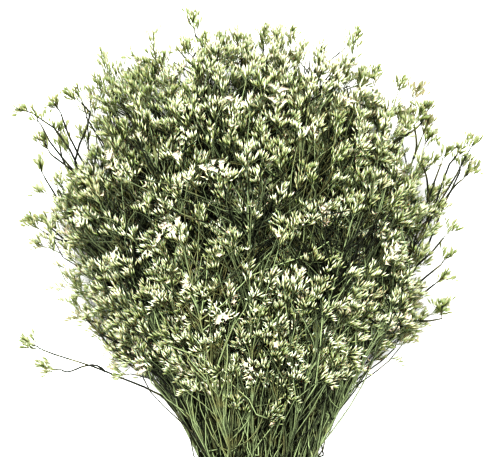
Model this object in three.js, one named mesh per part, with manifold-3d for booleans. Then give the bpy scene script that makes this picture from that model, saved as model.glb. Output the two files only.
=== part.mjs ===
// A bunch of dried statice, the airy kind sold as sea lavender, laid down on a table.
//
// Millimetres. +Y runs along the bunch from the cut stems to the flowers, +Z is up, and z = 0 is the
// table. Every spray is one thin main stem, its side branches and the heads of small pointed florets
// at the branch ends. The sprays are bound by a few turns of twine and fan out from there.
//
// A place in the bunch is (a, b, y): y is the distance from the twine along the bunch, and (a, b) is a
// place in a unit disc that stays the same along a straight stem. place() turns it into millimetres,
// so sprays that keep to their own part of the disc never cross.
import * as THREE from "three";
import Module from "manifold-3d";

const wasm = await Module();
wasm.setup();

// The fan of stems
const SPRAYS = 30;
const DISC_RIM = 0.98;
const GOLDEN_ANGLE = Math.PI * (3 - Math.sqrt(5));
const CUT_END_Y = -72;
const CUT_END_SCATTER = 9;
const BUNDLE_X = 9.2;
const BUNDLE_Z = 7.4;
const SIDE_SLOPE = 0.6;
const RISE_SLOPE = 0.37;
const UNDERSIDE_SLOPE = 0.17;
const FLARE_ROUNDING = 28;
const CUT_END_FLARE = 0.13;

// The head of flowers
const LOWEST_FLOWERS_Y = 108;
const LOWEST_FLOWERS_SIDE_RISE = 42;
const SHOULDER_Y = 205;
const TOP_Y = 364;
const DOME_POWER = 0.7;
const SIDE_SHARE = 0.42;
const SEAT_DEPTH = 0.3;
const SEAT_RADIUS = 0.97;
const CELL_FILL = 0.95;
const WAY_SCATTER = 0.5;
const LENGTH_SCATTER = 0.11;
const HEAD_CENTRE = new THREE.Vector3(0, 165, 48);
const SEAT_TRIES = 40000;
const SPACING = 11.5;
const UNDERSIDE_SPACING = 15.5;
const UNDERSIDE_FROM = -0.45;

// Loose tips that stand out of the outline, as x, y, z of each head
const LOOSE_TIPS = [
  [-150, 156, 34],
  [-139, 140, 27],
  [141, 270, 50],
  [-138, 289, 64],
  [-149, 236, 26],
  [122, 180, 40],
  [-40, 366, 70],
  [-92, 320, 48],
  [105, 322, 47],
  [64, 352, 61],
];

// Low heads that the bunch rests on, as x and y of each
const RESTING_TIPS = [
  [-86, 216],
  [-47, 262],
  [4, 290],
  [50, 258],
  [95, 220],
];
const RESTING_Z = 5;

// Stems and branches
const STEM_RADIUS = 1.25;
const STEM_TOP_RADIUS = 0.9;
const STEM_KNOTS_Y = [-30, 0, 28, 60, 120];
const FIRST_BRANCH_Y = 62;
const BRANCH_STEP = 5.5;
const BRANCH_RADIUS = 0.85;
const ROOT_RADIUS = 0.4;
const BRANCH_ARCH = 0.09;
const LONG_BRANCH = 26;
const LEAST_ALIGNMENT = 0.72;
const ROOT_SHARE = 0.45;
const BRANCH_CLEARANCE = 2.1;
const HEAD_CLEARANCE = 5;

// A head of florets
const HEAD_LENGTH = 22;
const HEAD_WIDTH = 10;
const HEAD_CORE = 0.45;
const HEAD_BELLY = 0.5;
const FLORET_LEAN = 4.4;
const TIP_FLORET_SHARE = 0.8;
const FLORET_SCATTER = 0.16;
const GAP = 0.4;

// The twine
const TWINE_TURNS = 3;
const TWINE_RADIUS = 1.15;
const TWINE_LOOP_STEPS = 16;
const TWINE_CLEARANCE = 0.3;
const KNOT_SIZE = [5.2, 3.4, 2.6];
const TAIL_LENGTH = 15;
const FLAT_SPOT = 0.3;

const BUNDLE_HEIGHT = BUNDLE_Z + STEM_RADIUS + TWINE_CLEARANCE + 2 * TWINE_RADIUS - FLAT_SPOT;

const SEED = 28;
const FLORET_SEED = 4;

// The same numbers each run, from 0 to 1
function makeRandom(seed) {
  let state = seed;
  return () => {
    state = (state * 1664525 + 1013904223) % 4294967296;
    return state / 4294967296;
  };
}

const mix = (from, to, share) => from + (to - from) * share;

// How far the fan has opened at y: not at the twine, then in straight lines, and a little at the cut ends
function opening(y) {
  if (y < 0) return -y * CUT_END_FLARE;
  return Math.hypot(y, FLARE_ROUNDING) - FLARE_ROUNDING;
}

function place(a, b, y) {
  const open = opening(y);
  const slope = b > 0 ? RISE_SLOPE : UNDERSIDE_SLOPE;
  const height = b * (BUNDLE_Z + slope * open);
  return new THREE.Vector3(
    a * (BUNDLE_X + SIDE_SLOPE * open),
    y,
    BUNDLE_HEIGHT + UNDERSIDE_SLOPE * open + height,
  );
}

// The places of the sprays in the disc, in a spiral that spreads them evenly, as packed stems are
function spraysInDisc(random) {
  return Array.from({ length: SPRAYS }, (_, i) => {
    const radius = DISC_RIM * Math.sqrt((i + 0.5) / SPRAYS);
    const angle = i * GOLDEN_ANGLE;
    const length = mix(1 - LENGTH_SCATTER, 1, random());
    return { a: radius * Math.cos(angle), b: radius * Math.sin(angle), length };
  });
}

function nearestSpray(sprays, a, b) {
  return sprays.reduce((best, s) =>
    Math.hypot(s.a - a, s.b - b) < Math.hypot(best.a - a, best.b - b) ? s : best,
  );
}

// Which way a head of florets points: out from the bunch, forward, and a little at random
function headDirection(at, scatter) {
  const forward = at.clone().sub(place(0, 0, 0)).normalize();
  const outward = at.clone().sub(HEAD_CENTRE).normalize();
  const way = forward.multiplyScalar(0.6).addScaledVector(outward, 0.6).addScaledVector(scatter, WAY_SCATTER);
  way.normalize();
  const lowest = (2 - at.z) / (HEAD_LENGTH / 2);
  if (way.z < lowest) way.z = Math.min(lowest, 0.4);
  return way.normalize();
}

// The shortest distance between two straight stretches, each from one point to another
function apart([p, q], [r, s]) {
  const d1 = q.clone().sub(p);
  const d2 = s.clone().sub(r);
  const between = p.clone().sub(r);
  const [a, e, f] = [d1.dot(d1), d2.dot(d2), d2.dot(between)];
  const [b, c] = [d1.dot(d2), d1.dot(between)];
  const clamp = (value) => Math.min(1, Math.max(0, value));
  const denominator = a * e - b * b;
  let t = denominator > 1e-9 ? clamp((b * f - c * e) / denominator) : 0;
  let u = (b * t + f) / e;
  if (u < 0 || u > 1) {
    u = clamp(u);
    t = clamp((b * u - c) / a);
  }
  return p.clone().addScaledVector(d1, t).distanceTo(r.clone().addScaledVector(d2, u));
}

// The branch that reaches a head from its spray by the least bend, as the joint it leaves and its points
function branchTo(spray, base) {
  const cost = (joint) => {
    const reach = base.distanceTo(joint.at);
    const along = base.clone().sub(joint.at).dot(joint.forward) / reach;
    return joint.used ? 1e9 : reach / Math.max(0.1, along) ** 2;
  };
  const from = spray.joints.reduce((best, joint) => (cost(joint) < cost(best) ? joint : best));
  const reach = base.distanceTo(from.at);
  const middle = from.at.clone().lerp(base, 0.5).addScaledVector(from.forward, BRANCH_ARCH * reach);
  return { from, path: reach > LONG_BRANCH ? [from.at, middle, base] : [from.at, base] };
}

// A main stem, straight in the fan, with a joint every few millimetres and a head at its end
function growStem(spray, bunch) {
  const radius = Math.hypot(spray.a, spray.b);
  const domeY = mix(SHOULDER_Y, TOP_Y, Math.max(0, 1 - radius * radius) ** DOME_POWER);
  spray.topY = mix(LOWEST_FLOWERS_Y, domeY, spray.length);
  spray.joints = [];
  for (let y = FIRST_BRANCH_Y; y < spray.topY - HEAD_LENGTH; y += BRANCH_STEP) {
    const at = place(spray.a, spray.b, y);
    spray.joints.push({ at, forward: place(spray.a, spray.b, y + 1).sub(at).normalize(), used: false });
  }
  const base = place(spray.a, spray.b, spray.topY - HEAD_LENGTH / 2);
  const way = base.clone().sub(place(spray.a, spray.b, FIRST_BRANCH_Y)).normalize();
  bunch.heads.push({ spray, base, way, end: base.clone().addScaledVector(way, HEAD_LENGTH), path: [] });
  const knots = [0, STEM_KNOTS_Y.at(-1)].map((y) => place(spray.a, spray.b, y));
  bunch.stretches.push({ spray, ends: [knots[0], knots[1]] }, { spray, ends: [knots[1], base] });
}

// Adds a head and its branch, if both are clear of all the others
function growBranch(spray, at, way, spacing, bunch) {
  const base = at.clone().addScaledVector(way, -HEAD_LENGTH / 2);
  const end = at.clone().addScaledVector(way, HEAD_LENGTH / 2);
  const near = (other) => other.base.distanceTo(base) < 2 * HEAD_LENGTH + spacing;
  if (bunch.heads.some((other) => near(other) && apart([base, end], [other.base, other.end]) < spacing)) return;
  const { from, path } = branchTo(spray, base);
  const alignment = path.at(-1).clone().sub(path.at(-2)).normalize().dot(way);
  if (from.used || alignment < LEAST_ALIGNMENT) return;
  const stretches = path.slice(1).map((point, i) => [path[i], point]);
  const free = [path[0].clone().lerp(path[1], ROOT_SHARE), path[1]];
  const clear = [free, ...stretches.slice(1)];
  const blocked =
    bunch.stretches.some((other) => apart([base, end], other.ends) < HEAD_CLEARANCE) ||
    bunch.heads.some((other) => clear.some((own) => apart(own, [other.base, other.end]) < HEAD_CLEARANCE)) ||
    bunch.stretches.some((other) => clear.some((own) => apart(own, other.ends) < BRANCH_CLEARANCE));
  if (blocked) return;
  from.used = true;
  if (path.length > 2) {
    spray.joints.push({ at: path[1], forward: base.clone().sub(path[1]).normalize(), used: false });
  }
  bunch.heads.push({ spray, base, way, end, path });
  bunch.stretches.push(...stretches.map((ends) => ({ spray, ends })));
}

// Heads of florets all over the domed outside of the bunch
function growHeads(sprays, random) {
  const bunch = { heads: [], stretches: [] };
  for (const spray of sprays) growStem(spray, bunch);
  const toward = () => new THREE.Vector3(random() - 0.5, random() - 0.5, random() - 0.5);
  for (const [x, y, z] of [...LOOSE_TIPS, ...RESTING_TIPS.map((tip) => [...tip, RESTING_Z])]) {
    const open = place(1, 0, y).x;
    const spray = nearestSpray(sprays, x / open, (z - place(0, 0, y).z) / open);
    const at = new THREE.Vector3(x, y, z);
    growBranch(spray, at, headDirection(at, toward()), SPACING / 2, bunch);
  }
  for (let attempt = 0; attempt < SEAT_TRIES; attempt++) {
    const angle = 2 * Math.PI * random();
    const pick = random();
    const depth = random();
    const scatter = toward();
    let radius = 1;
    let y = 0;
    if (pick < SIDE_SHARE) {
      const lowest = LOWEST_FLOWERS_Y + LOWEST_FLOWERS_SIDE_RISE * Math.cos(angle) ** 2;
      y = mix(lowest, SHOULDER_Y, pick / SIDE_SHARE);
    } else {
      radius = Math.sqrt((pick - SIDE_SHARE) / (1 - SIDE_SHARE));
      y = mix(SHOULDER_Y, TOP_Y, (1 - radius * radius) ** DOME_POWER);
    }
    radius *= SEAT_RADIUS * (1 - SEAT_DEPTH * depth);
    const spray = nearestSpray(sprays, radius * Math.cos(angle), radius * Math.sin(angle));
    const a = mix(spray.a, radius * Math.cos(angle), CELL_FILL);
    const b = mix(spray.b, radius * Math.sin(angle), CELL_FILL);
    const at = place(a, b, mix(LOWEST_FLOWERS_Y, y, spray.length * (1 - SEAT_DEPTH * depth)));
    growBranch(spray, at, headDirection(at, scatter), b < UNDERSIDE_FROM ? UNDERSIDE_SPACING : SPACING, bunch);
  }
  for (const head of bunch.heads) {
    const stretch = [head.base, head.end];
    const fromHeads = bunch.heads
      .filter((other) => other !== head)
      .map((other) => apart(stretch, [other.base, other.end]) / 2 - GAP / 2);
    const fromStems = bunch.stretches
      .filter((other) => other.spray !== head.spray)
      .map((other) => apart(stretch, other.ends) - STEM_RADIUS - GAP);
    head.width = Math.min(HEAD_WIDTH, ...fromHeads, ...fromStems);
  }
  return bunch.heads;
}

// A closed solid from points and triangles
function solidFrom(points, triangles) {
  const vertProperties = new Float32Array(points.flatMap((p) => [p.x, p.y, p.z]));
  const triVerts = new Uint32Array(triangles.flat());
  return new wasm.Manifold(new wasm.Mesh({ numProp: 3, vertProperties, triVerts }));
}

// Two directions square to a path; nothing in the bunch points along the reference
function squareTo(direction) {
  const across = new THREE.Vector3(0, -1, 1).cross(direction).normalize();
  return [across, direction.clone().cross(across)];
}

function addRing(points, centre, frame, radius, sides, turn = 0) {
  const [across, up] = frame;
  const first = points.length;
  for (let i = 0; i < sides; i++) {
    const angle = ((i + turn) * 2 * Math.PI) / sides;
    const out = across.clone().multiplyScalar(Math.cos(angle)).addScaledVector(up, Math.sin(angle));
    points.push(centre.clone().addScaledVector(out, radius));
  }
  return first;
}

function joinRings(triangles, from, to, sides) {
  for (let i = 0; i < sides; i++) {
    const next = (i + 1) % sides;
    triangles.push([from + i, from + next, to + next], [from + i, to + next, to + i]);
  }
}

function capRing(triangles, ring, sides, atStart) {
  for (let i = 1; i < sides - 1; i++) {
    triangles.push(atStart ? [ring, ring + i + 1, ring + i] : [ring, ring + i, ring + i + 1]);
  }
}

// The rings of a stem of a few flat sides along a path, with a radius at each point
function stemRings(points, triangles, path, radii, sides, turn = 0) {
  const rings = path.slice(0, -1).map((at, i) => {
    const way = path[i + 1].clone().sub(path[Math.max(0, i - 1)]).normalize();
    return addRing(points, at, squareTo(way), radii[i], sides, turn);
  });
  capRing(triangles, rings[0], sides, true);
  for (let i = 1; i < rings.length; i++) joinRings(triangles, rings[i - 1], rings[i], sides);
  return rings.at(-1);
}

// A stem or branch with its head: a slim spindle whose every face is raised into a pointed floret
function stemWithHead(path, radii, head, turn, random) {
  const points = [];
  const triangles = [];
  const sides = 3;
  const lastRing = stemRings(points, triangles, path, radii, sides, turn);
  const neck = addRing(points, head.base, squareTo(head.way), radii.at(-1), sides, turn);
  joinRings(triangles, lastRing, neck, sides);
  const bellyCentre = head.base.clone().addScaledVector(head.way, HEAD_BELLY * HEAD_LENGTH);
  const belly = addRing(points, bellyCentre, squareTo(head.way), HEAD_CORE * head.width, sides, turn + 0.5);
  const tip = points.push(head.end.clone()) - 1;
  const floret = (corners, width) => {
    const centre = corners.reduce((sum, k) => sum.add(points[k]), new THREE.Vector3()).divideScalar(3);
    const along = centre.clone().sub(head.base).dot(head.way);
    const foot = head.base.clone().addScaledVector(head.way, along);
    const out = centre.clone().sub(foot).normalize().multiplyScalar(width * (1 - FLORET_SCATTER * random()));
    const last = points.push(foot.add(out).addScaledVector(head.way, FLORET_LEAN)) - 1;
    for (let k = 0; k < 3; k++) triangles.push([corners[k], corners[(k + 1) % 3], last]);
  };
  for (let i = 0; i < sides; i++) {
    const next = (i + 1) % sides;
    floret([neck + i, neck + next, belly + i], head.width);
    floret([belly + i, neck + next, belly + next], head.width);
    floret([belly + i, belly + next, tip], head.width * TIP_FLORET_SHARE);
  }
  return solidFrom(points, triangles);
}

// One spray: the main stem with all its branches and heads, fused, and flat where it meets the table
function spraySolid(spray, heads, random, endScatter) {
  const ys = [CUT_END_Y + endScatter, ...STEM_KNOTS_Y, spray.topY - HEAD_LENGTH / 2];
  const stem = ys.map((y) => place(spray.a, spray.b, y));
  const stemRadii = ys.map((y) => mix(STEM_RADIUS, STEM_TOP_RADIUS, Math.max(0, y / TOP_Y)));
  const [top, ...others] = heads;
  let solid = stemWithHead(stem, stemRadii, top, 0, random);
  for (const head of others) {
    const radii = [ROOT_RADIUS, BRANCH_RADIUS, BRANCH_RADIUS].slice(0, head.path.length);
    solid = solid.add(stemWithHead(head.path, radii, head, random(), random));
  }
  solid = solid.trimByPlane([0, 0, 1], 0);
  return solid.decompose().reduce((best, s) => (s.volume() > best.volume() ? s : best));
}

// The twine: turns side by side round the stems, a knot on top and two short cut tails
function twineSolid() {
  const points = [];
  const triangles = [];
  const width = 2 * TWINE_RADIUS * 0.94;
  const profile = [];
  for (let turn = 0; turn < TWINE_TURNS; turn++) {
    const y = (turn - (TWINE_TURNS - 1) / 2) * width;
    profile.push([y - width / 2, TWINE_RADIUS * 1.3], [y, TWINE_RADIUS * 2]);
  }
  profile.push([(TWINE_TURNS / 2) * width, TWINE_RADIUS * 1.3]);
  profile.push([(TWINE_TURNS / 2) * width, 0], [(-TWINE_TURNS / 2) * width, 0]);
  const size = profile.length;
  const [innerX, innerZ] = [BUNDLE_X, BUNDLE_Z].map((r) => r + STEM_RADIUS + TWINE_CLEARANCE);
  const widen = 1 / Math.cos(Math.PI / TWINE_LOOP_STEPS);
  for (let step = 0; step < TWINE_LOOP_STEPS; step++) {
    const angle = ((step + 0.5) * 2 * Math.PI) / TWINE_LOOP_STEPS;
    for (const [y, out] of profile) {
      const x = (innerX + out) * widen * Math.cos(angle);
      points.push(new THREE.Vector3(x, y, BUNDLE_HEIGHT + (innerZ + out) * widen * Math.sin(angle)));
    }
  }
  for (let step = 0; step < TWINE_LOOP_STEPS; step++) {
    const here = step * size;
    const next = ((step + 1) % TWINE_LOOP_STEPS) * size;
    for (let k = 0; k < size; k++) {
      const after = (k + 1) % size;
      triangles.push([here + k, next + after, next + k], [here + k, here + after, next + after]);
    }
  }
  let solid = solidFrom(points, triangles);
  if (solid.volume() < 0) throw new Error("the twine is inside out");
  const topZ = BUNDLE_HEIGHT + innerZ + TWINE_RADIUS * 2;
  const knot = new THREE.SphereGeometry(1, 6, 5).scale(...KNOT_SIZE).translate(0, 0, topZ + 0.6);
  solid = solid.add(solidOfGeometry(knot));
  for (const side of [-1, 1]) {
    const start = new THREE.Vector3(0, 0, topZ + 0.8);
    const bend = new THREE.Vector3(side * TAIL_LENGTH * 0.55, -side * 2.5, topZ + 1.6);
    const end = new THREE.Vector3(side * TAIL_LENGTH, -side * 6, topZ - 0.8);
    const tail = { points: [], triangles: [] };
    const beyond = end.clone().multiplyScalar(2).sub(bend);
    const radii = [TWINE_RADIUS, TWINE_RADIUS, TWINE_RADIUS];
    const last = stemRings(tail.points, tail.triangles, [start, bend, end, beyond], radii, 6);
    capRing(tail.triangles, last, 6, false);
    solid = solid.add(solidFrom(tail.points, tail.triangles));
  }
  return solid.trimByPlane([0, 0, 1], 0);
}

// A closed three.js geometry as a solid
function solidOfGeometry(geometry) {
  const position = geometry.getAttribute("position");
  const index = geometry.index.array;
  const points = [];
  const places = new Map();
  const merged = Array.from({ length: position.count }, (_, i) => {
    const p = new THREE.Vector3().fromBufferAttribute(position, i);
    const key = p.toArray().map((v) => v.toFixed(4)).join();
    if (!places.has(key)) places.set(key, points.push(p) - 1);
    return places.get(key);
  });
  const triangles = [];
  for (let i = 0; i < index.length; i += 3) {
    const t = [merged[index[i]], merged[index[i + 1]], merged[index[i + 2]]];
    if (new Set(t).size === 3) triangles.push(t);
  }
  return solidFrom(points, triangles);
}

function meshOf(solid, name, material) {
  const mesh = solid.getMesh();
  const geometry = new THREE.BufferGeometry();
  geometry.setAttribute("position", new THREE.BufferAttribute(mesh.vertProperties, 3));
  geometry.setIndex(new THREE.BufferAttribute(mesh.triVerts, 1));
  geometry.computeVertexNormals();
  const made = new THREE.Mesh(geometry, material);
  made.name = name;
  return made;
}

const driedSpray = new THREE.MeshStandardMaterial({ color: 0xaab285, roughness: 0.9, metalness: 0 });
const juteTwine = new THREE.MeshStandardMaterial({ color: 0xb89a6a, roughness: 0.95, metalness: 0 });

const random = makeRandom(SEED);
const sprays = spraysInDisc(random);
const heads = growHeads(sprays, random);

const scatter = makeRandom(FLORET_SEED);
const bunch = new THREE.Group();
sprays.forEach((spray, i) => {
  const endScatter = CUT_END_SCATTER * scatter();
  const name = `spray_${String(i + 1).padStart(2, "0")}`;
  const own = heads.filter((head) => head.spray === spray);
  bunch.add(meshOf(spraySolid(spray, own, scatter, endScatter), name, driedSpray));
});
bunch.add(meshOf(twineSolid(), "twine_tie", juteTwine));

// The origin is on the table, under the middle of the bunch
const extent = new THREE.Box3().setFromObject(bunch, true);
const middle = extent.getCenter(new THREE.Vector3());
bunch.position.set(-middle.x, -middle.y, 0);

export default bunch;
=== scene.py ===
"""A bunch of dried statice laid down on a table, dressed for the studio.

The fan of stems, the branches and the heads are grown by the rules of the CAD source, in millimetres
from the twine, so every fine spray stands where its CAD node stands. Each head of the CAD source
becomes a tuft: a curved twig with arched side twigs, each with a one-sided double row of florets.
"""

import logging
import math
from dataclasses import dataclass, field, replace
from enum import IntEnum

import bpy
import numpy as np
from bpy.types import Material, Mesh, NodeOutputs, NodeSocket, NodeTree, Object
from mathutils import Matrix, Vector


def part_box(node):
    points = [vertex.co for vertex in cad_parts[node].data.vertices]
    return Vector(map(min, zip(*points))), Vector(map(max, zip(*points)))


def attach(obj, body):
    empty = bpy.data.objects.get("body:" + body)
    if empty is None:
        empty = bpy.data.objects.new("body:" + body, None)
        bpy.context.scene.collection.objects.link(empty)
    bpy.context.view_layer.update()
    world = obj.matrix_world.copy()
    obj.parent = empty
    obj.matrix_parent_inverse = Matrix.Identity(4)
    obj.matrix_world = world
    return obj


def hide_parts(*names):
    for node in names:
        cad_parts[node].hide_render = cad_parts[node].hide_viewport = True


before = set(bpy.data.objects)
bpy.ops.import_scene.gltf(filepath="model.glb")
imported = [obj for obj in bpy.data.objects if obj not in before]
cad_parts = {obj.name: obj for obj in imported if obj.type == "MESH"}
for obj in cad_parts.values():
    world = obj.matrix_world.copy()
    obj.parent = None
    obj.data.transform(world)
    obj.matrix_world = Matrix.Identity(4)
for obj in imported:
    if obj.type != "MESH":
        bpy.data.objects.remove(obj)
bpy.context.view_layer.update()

LOG = logging.getLogger("dried_statice")
MILLIMETRE = 0.001
GOLDEN_ANGLE = math.pi * (3 - math.sqrt(5))
PARALLEL = 1e-9

Vector3 = np.ndarray
Pair = tuple[float, float]
Triple = tuple[float, float, float]
Four = tuple[float, float, float, float]


def linear(colour: str) -> Four:
    """Turns an sRGB hex colour into linear light.

    Args:
        colour: the colour as "#RRGGBB".

    Returns:
        Red, green and blue in linear light, and full cover.
    """
    parts = [int(colour[i : i + 2], 16) / 255 for i in (1, 3, 5)]
    lit = [p / 12.92 if p <= 0.04045 else ((p + 0.055) / 1.055) ** 2.4 for p in parts]
    return (lit[0], lit[1], lit[2], 1.0)


def add_node(
    tree: NodeTree,
    kind: str,
    inputs: dict[str | int, object] | None = None,
    output: str = "",
    **settings: object,
) -> NodeSocket | None:
    """Adds a node with its settings, values and links.

    Args:
        tree: the node tree that takes the node.
        kind: the node's type name.
        inputs: a value, or an output socket to link, for each input by name or number.
        output: the name of the output that is wanted, or nothing for the first one in use.
        **settings: the node's own properties.

    Returns:
        The output socket, if the node has one.
    """
    node = tree.nodes.new(kind)
    for name, value in settings.items():
        setattr(node, name, value)
    for key, value in (inputs or {}).items():
        named = (s for s in node.inputs if s.enabled and s.name == key)
        socket = node.inputs[key] if isinstance(key, int) else next(named)
        if isinstance(value, NodeSocket):
            tree.links.new(value, socket)
        else:
            socket.default_value = value
    return next((s for s in node.outputs if s.enabled and output in ("", s.name)), None)


def start_tree(name: str, inputs: dict[str, str], output: str) -> tuple[NodeTree, NodeOutputs]:
    """Starts a geometry node tree.

    Args:
        name: the tree's name.
        inputs: the type of each input by name.
        output: the name of the geometry that it makes.

    Returns:
        The tree, and its inputs as sockets to link from.
    """
    tree = bpy.data.node_groups.new(name, "GeometryNodeTree")
    for label, kind in inputs.items():
        tree.interface.new_socket(label, in_out="INPUT", socket_type=f"NodeSocket{kind}")
    tree.interface.new_socket(output, in_out="OUTPUT", socket_type="NodeSocketGeometry")
    return tree, add_node(tree, "NodeGroupInput").node.outputs


def grow_piece(rough: Mesh, tree: NodeTree, values: dict[str, object], name: str) -> Object:
    """Runs a node tree on a rough mesh, and keeps what it makes above the table.

    Args:
        rough: the points and edges that the tree starts from.
        tree: the geometry nodes.
        values: the tree's inputs by name.
        name: the name of the finished piece.

    Returns:
        The piece, in the scene.
    """
    plan = bpy.data.objects.new(rough.name, rough)
    bpy.context.scene.collection.objects.link(plan)
    modifier = plan.modifiers.new("grow", "NODES")
    modifier.node_group = tree
    for item in tree.interface.items_tree:
        if item.in_out == "INPUT" and item.name in values:
            modifier[item.identifier] = values[item.name]
    mesh = bpy.data.meshes.new_from_object(plan.evaluated_get(bpy.context.evaluated_depsgraph_get()))
    plan.modifiers.remove(modifier)
    bpy.data.objects.remove(plan)
    for spent in ("kind", "thickness", "way", "size"):
        if spent in mesh.attributes:
            mesh.attributes.remove(mesh.attributes[spent])
    places = np.zeros(len(mesh.vertices) * 3, np.float32)
    mesh.vertices.foreach_get("co", places)
    places[2::3] = np.maximum(places[2::3], 0)
    mesh.vertices.foreach_set("co", places)
    mesh.update()
    mesh.name = name
    piece = bpy.data.objects.new(name, mesh)
    bpy.context.scene.collection.objects.link(piece)
    return piece


def mix(start: float, end: float, share: float) -> float:
    """Goes from start to end by a share."""
    return start + (end - start) * share


def unit(vector: Vector3) -> Vector3:
    """Gives a vector, or each of several, the length one."""
    return vector / np.linalg.norm(vector, axis=-1, keepdims=True)


def nearness(at: Vector3, x: float, y: float, breadth: float) -> float:
    """Says how near a point is to a place seen from above: 1 at it, and less over the breadth."""
    return math.exp(-((at[0] - x) ** 2 + (at[1] - y) ** 2) / breadth**2)


def apart(start: Vector3, end: Vector3, starts: Vector3, ends: Vector3) -> Vector3:
    """Measures how far one straight stretch is from each of several others.

    Args:
        start: where the stretch starts.
        end: where it ends.
        starts: where each other stretch starts, one a row.
        ends: where each other stretch ends, one a row.

    Returns:
        The shortest distance to each.
    """
    own = end - start
    other = ends - starts
    between = start - starts
    own_square = own @ own
    other_square = np.einsum("ij,ij->i", other, other)
    other_between = np.einsum("ij,ij->i", other, between)
    product = other @ own
    own_between = between @ own
    spread = own_square * other_square - product * product
    skew = spread > PARALLEL
    share = (product * other_between - own_between * other_square) / np.where(skew, spread, 1)
    share = np.where(skew, np.clip(share, 0, 1), 0)
    other_share = (product * share + other_between) / other_square
    outside = (other_share < 0) | (other_share > 1)
    other_share = np.clip(other_share, 0, 1)
    share = np.where(outside, np.clip((product * other_share - own_between) / own_square, 0, 1), share)
    gap = start + own * share[:, None] - (starts + other * other_share[:, None])
    return np.linalg.norm(gap, axis=1)


def curve_through(points: list[Vector3], start_way: Vector3, end_way: Vector3, steps: int = 5) -> Vector3:
    """Draws a smooth curve through points.

    Args:
        points: the points, in order.
        start_way: the direction at the first point.
        end_way: the direction at the last point.
        steps: how many straight steps stand for each stretch between two points.

    Returns:
        The curve's points, one a row.
    """
    ways = [start_way, *[unit(b - a) for a, b in zip(points, points[2:])], end_way]
    drawn = [points[0][None, :]]
    for (start, end), (leave, arrive) in zip(zip(points, points[1:]), zip(ways, ways[1:])):
        reach = np.linalg.norm(end - start)
        t = np.linspace(0, 1, steps + 1)[1:, None]
        from_start = 2 * t**3 - 3 * t**2 + 1
        leaving = (t**3 - 2 * t**2 + t) * reach
        arriving = (t**3 - t**2) * reach
        drawn.append(from_start * start + (1 - from_start) * end + leaving * leave + arriving * arrive)
    return np.vstack(drawn)


class Dice:
    """The chain of numbers from 0 to 1 that the CAD source draws."""

    def __init__(self, seed: int) -> None:
        """Starts the chain at a seed."""
        self.state = seed

    def roll(self) -> float:
        """Draws the next number."""
        self.state = (self.state * 1664525 + 1013904223) % 4294967296
        return self.state / 4294967296

    def scatter(self) -> Vector3:
        """Draws a small vector about zero."""
        return np.array([self.roll() - 0.5, self.roll() - 0.5, self.roll() - 0.5])


@dataclass(frozen=True)
class Fan:
    """How the bunch opens from the twine, in millimetres.

    A place is (a, b, y): y is the distance from the twine along the bunch, and (a, b) is a place in a
    unit disc that stays the same along a straight stem.
    """

    bundle_x: float = 9.2
    bundle_z: float = 7.4
    bundle_height: float = 10.95
    side_slope: float = 0.6
    rise_slope: float = 0.37
    underside_slope: float = 0.17
    rounding: float = 28.0
    cut_end_flare: float = 0.13

    def opening(self, y: float) -> float:
        """Says how far the fan has opened at y."""
        return -y * self.cut_end_flare if y < 0 else math.hypot(y, self.rounding) - self.rounding

    def place(self, a: float, b: float, y: float) -> Vector3:
        """Turns a place in the bunch into a point.

        Args:
            a: across the disc.
            b: up the disc.
            y: along the bunch from the twine.

        Returns:
            The point in millimetres.
        """
        opened = self.opening(y)
        slope = self.rise_slope if b > 0 else self.underside_slope
        height = b * (self.bundle_z + slope * opened)
        x = a * (self.bundle_x + self.side_slope * opened)
        return np.array([x, y, self.bundle_height + self.underside_slope * opened + height])

    def joint(self, a: float, b: float, y: float) -> "Joint":
        """Makes a joint on the straight stem that runs through a place."""
        at = self.place(a, b, y)
        return Joint(at, unit(self.place(a, b, y + 1) - at))


@dataclass
class Joint:
    """A place on a stem or branch where one more branch may leave."""

    at: Vector3
    forward: Vector3
    used: bool = False


@dataclass
class Spray:
    """One cut stem with its branches: its place in the disc, its share of the full length, its joints."""

    a: float
    b: float
    length: float
    top_y: float = 0.0
    joints: list[Joint] = field(default_factory=list)


@dataclass
class Head:
    """A straight stretch that carries florets, and the branch that reaches it."""

    spray: Spray
    base: Vector3
    way: Vector3
    end: Vector3
    path: list[Vector3]
    leaves: Vector3
    width: float = 0.0


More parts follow.
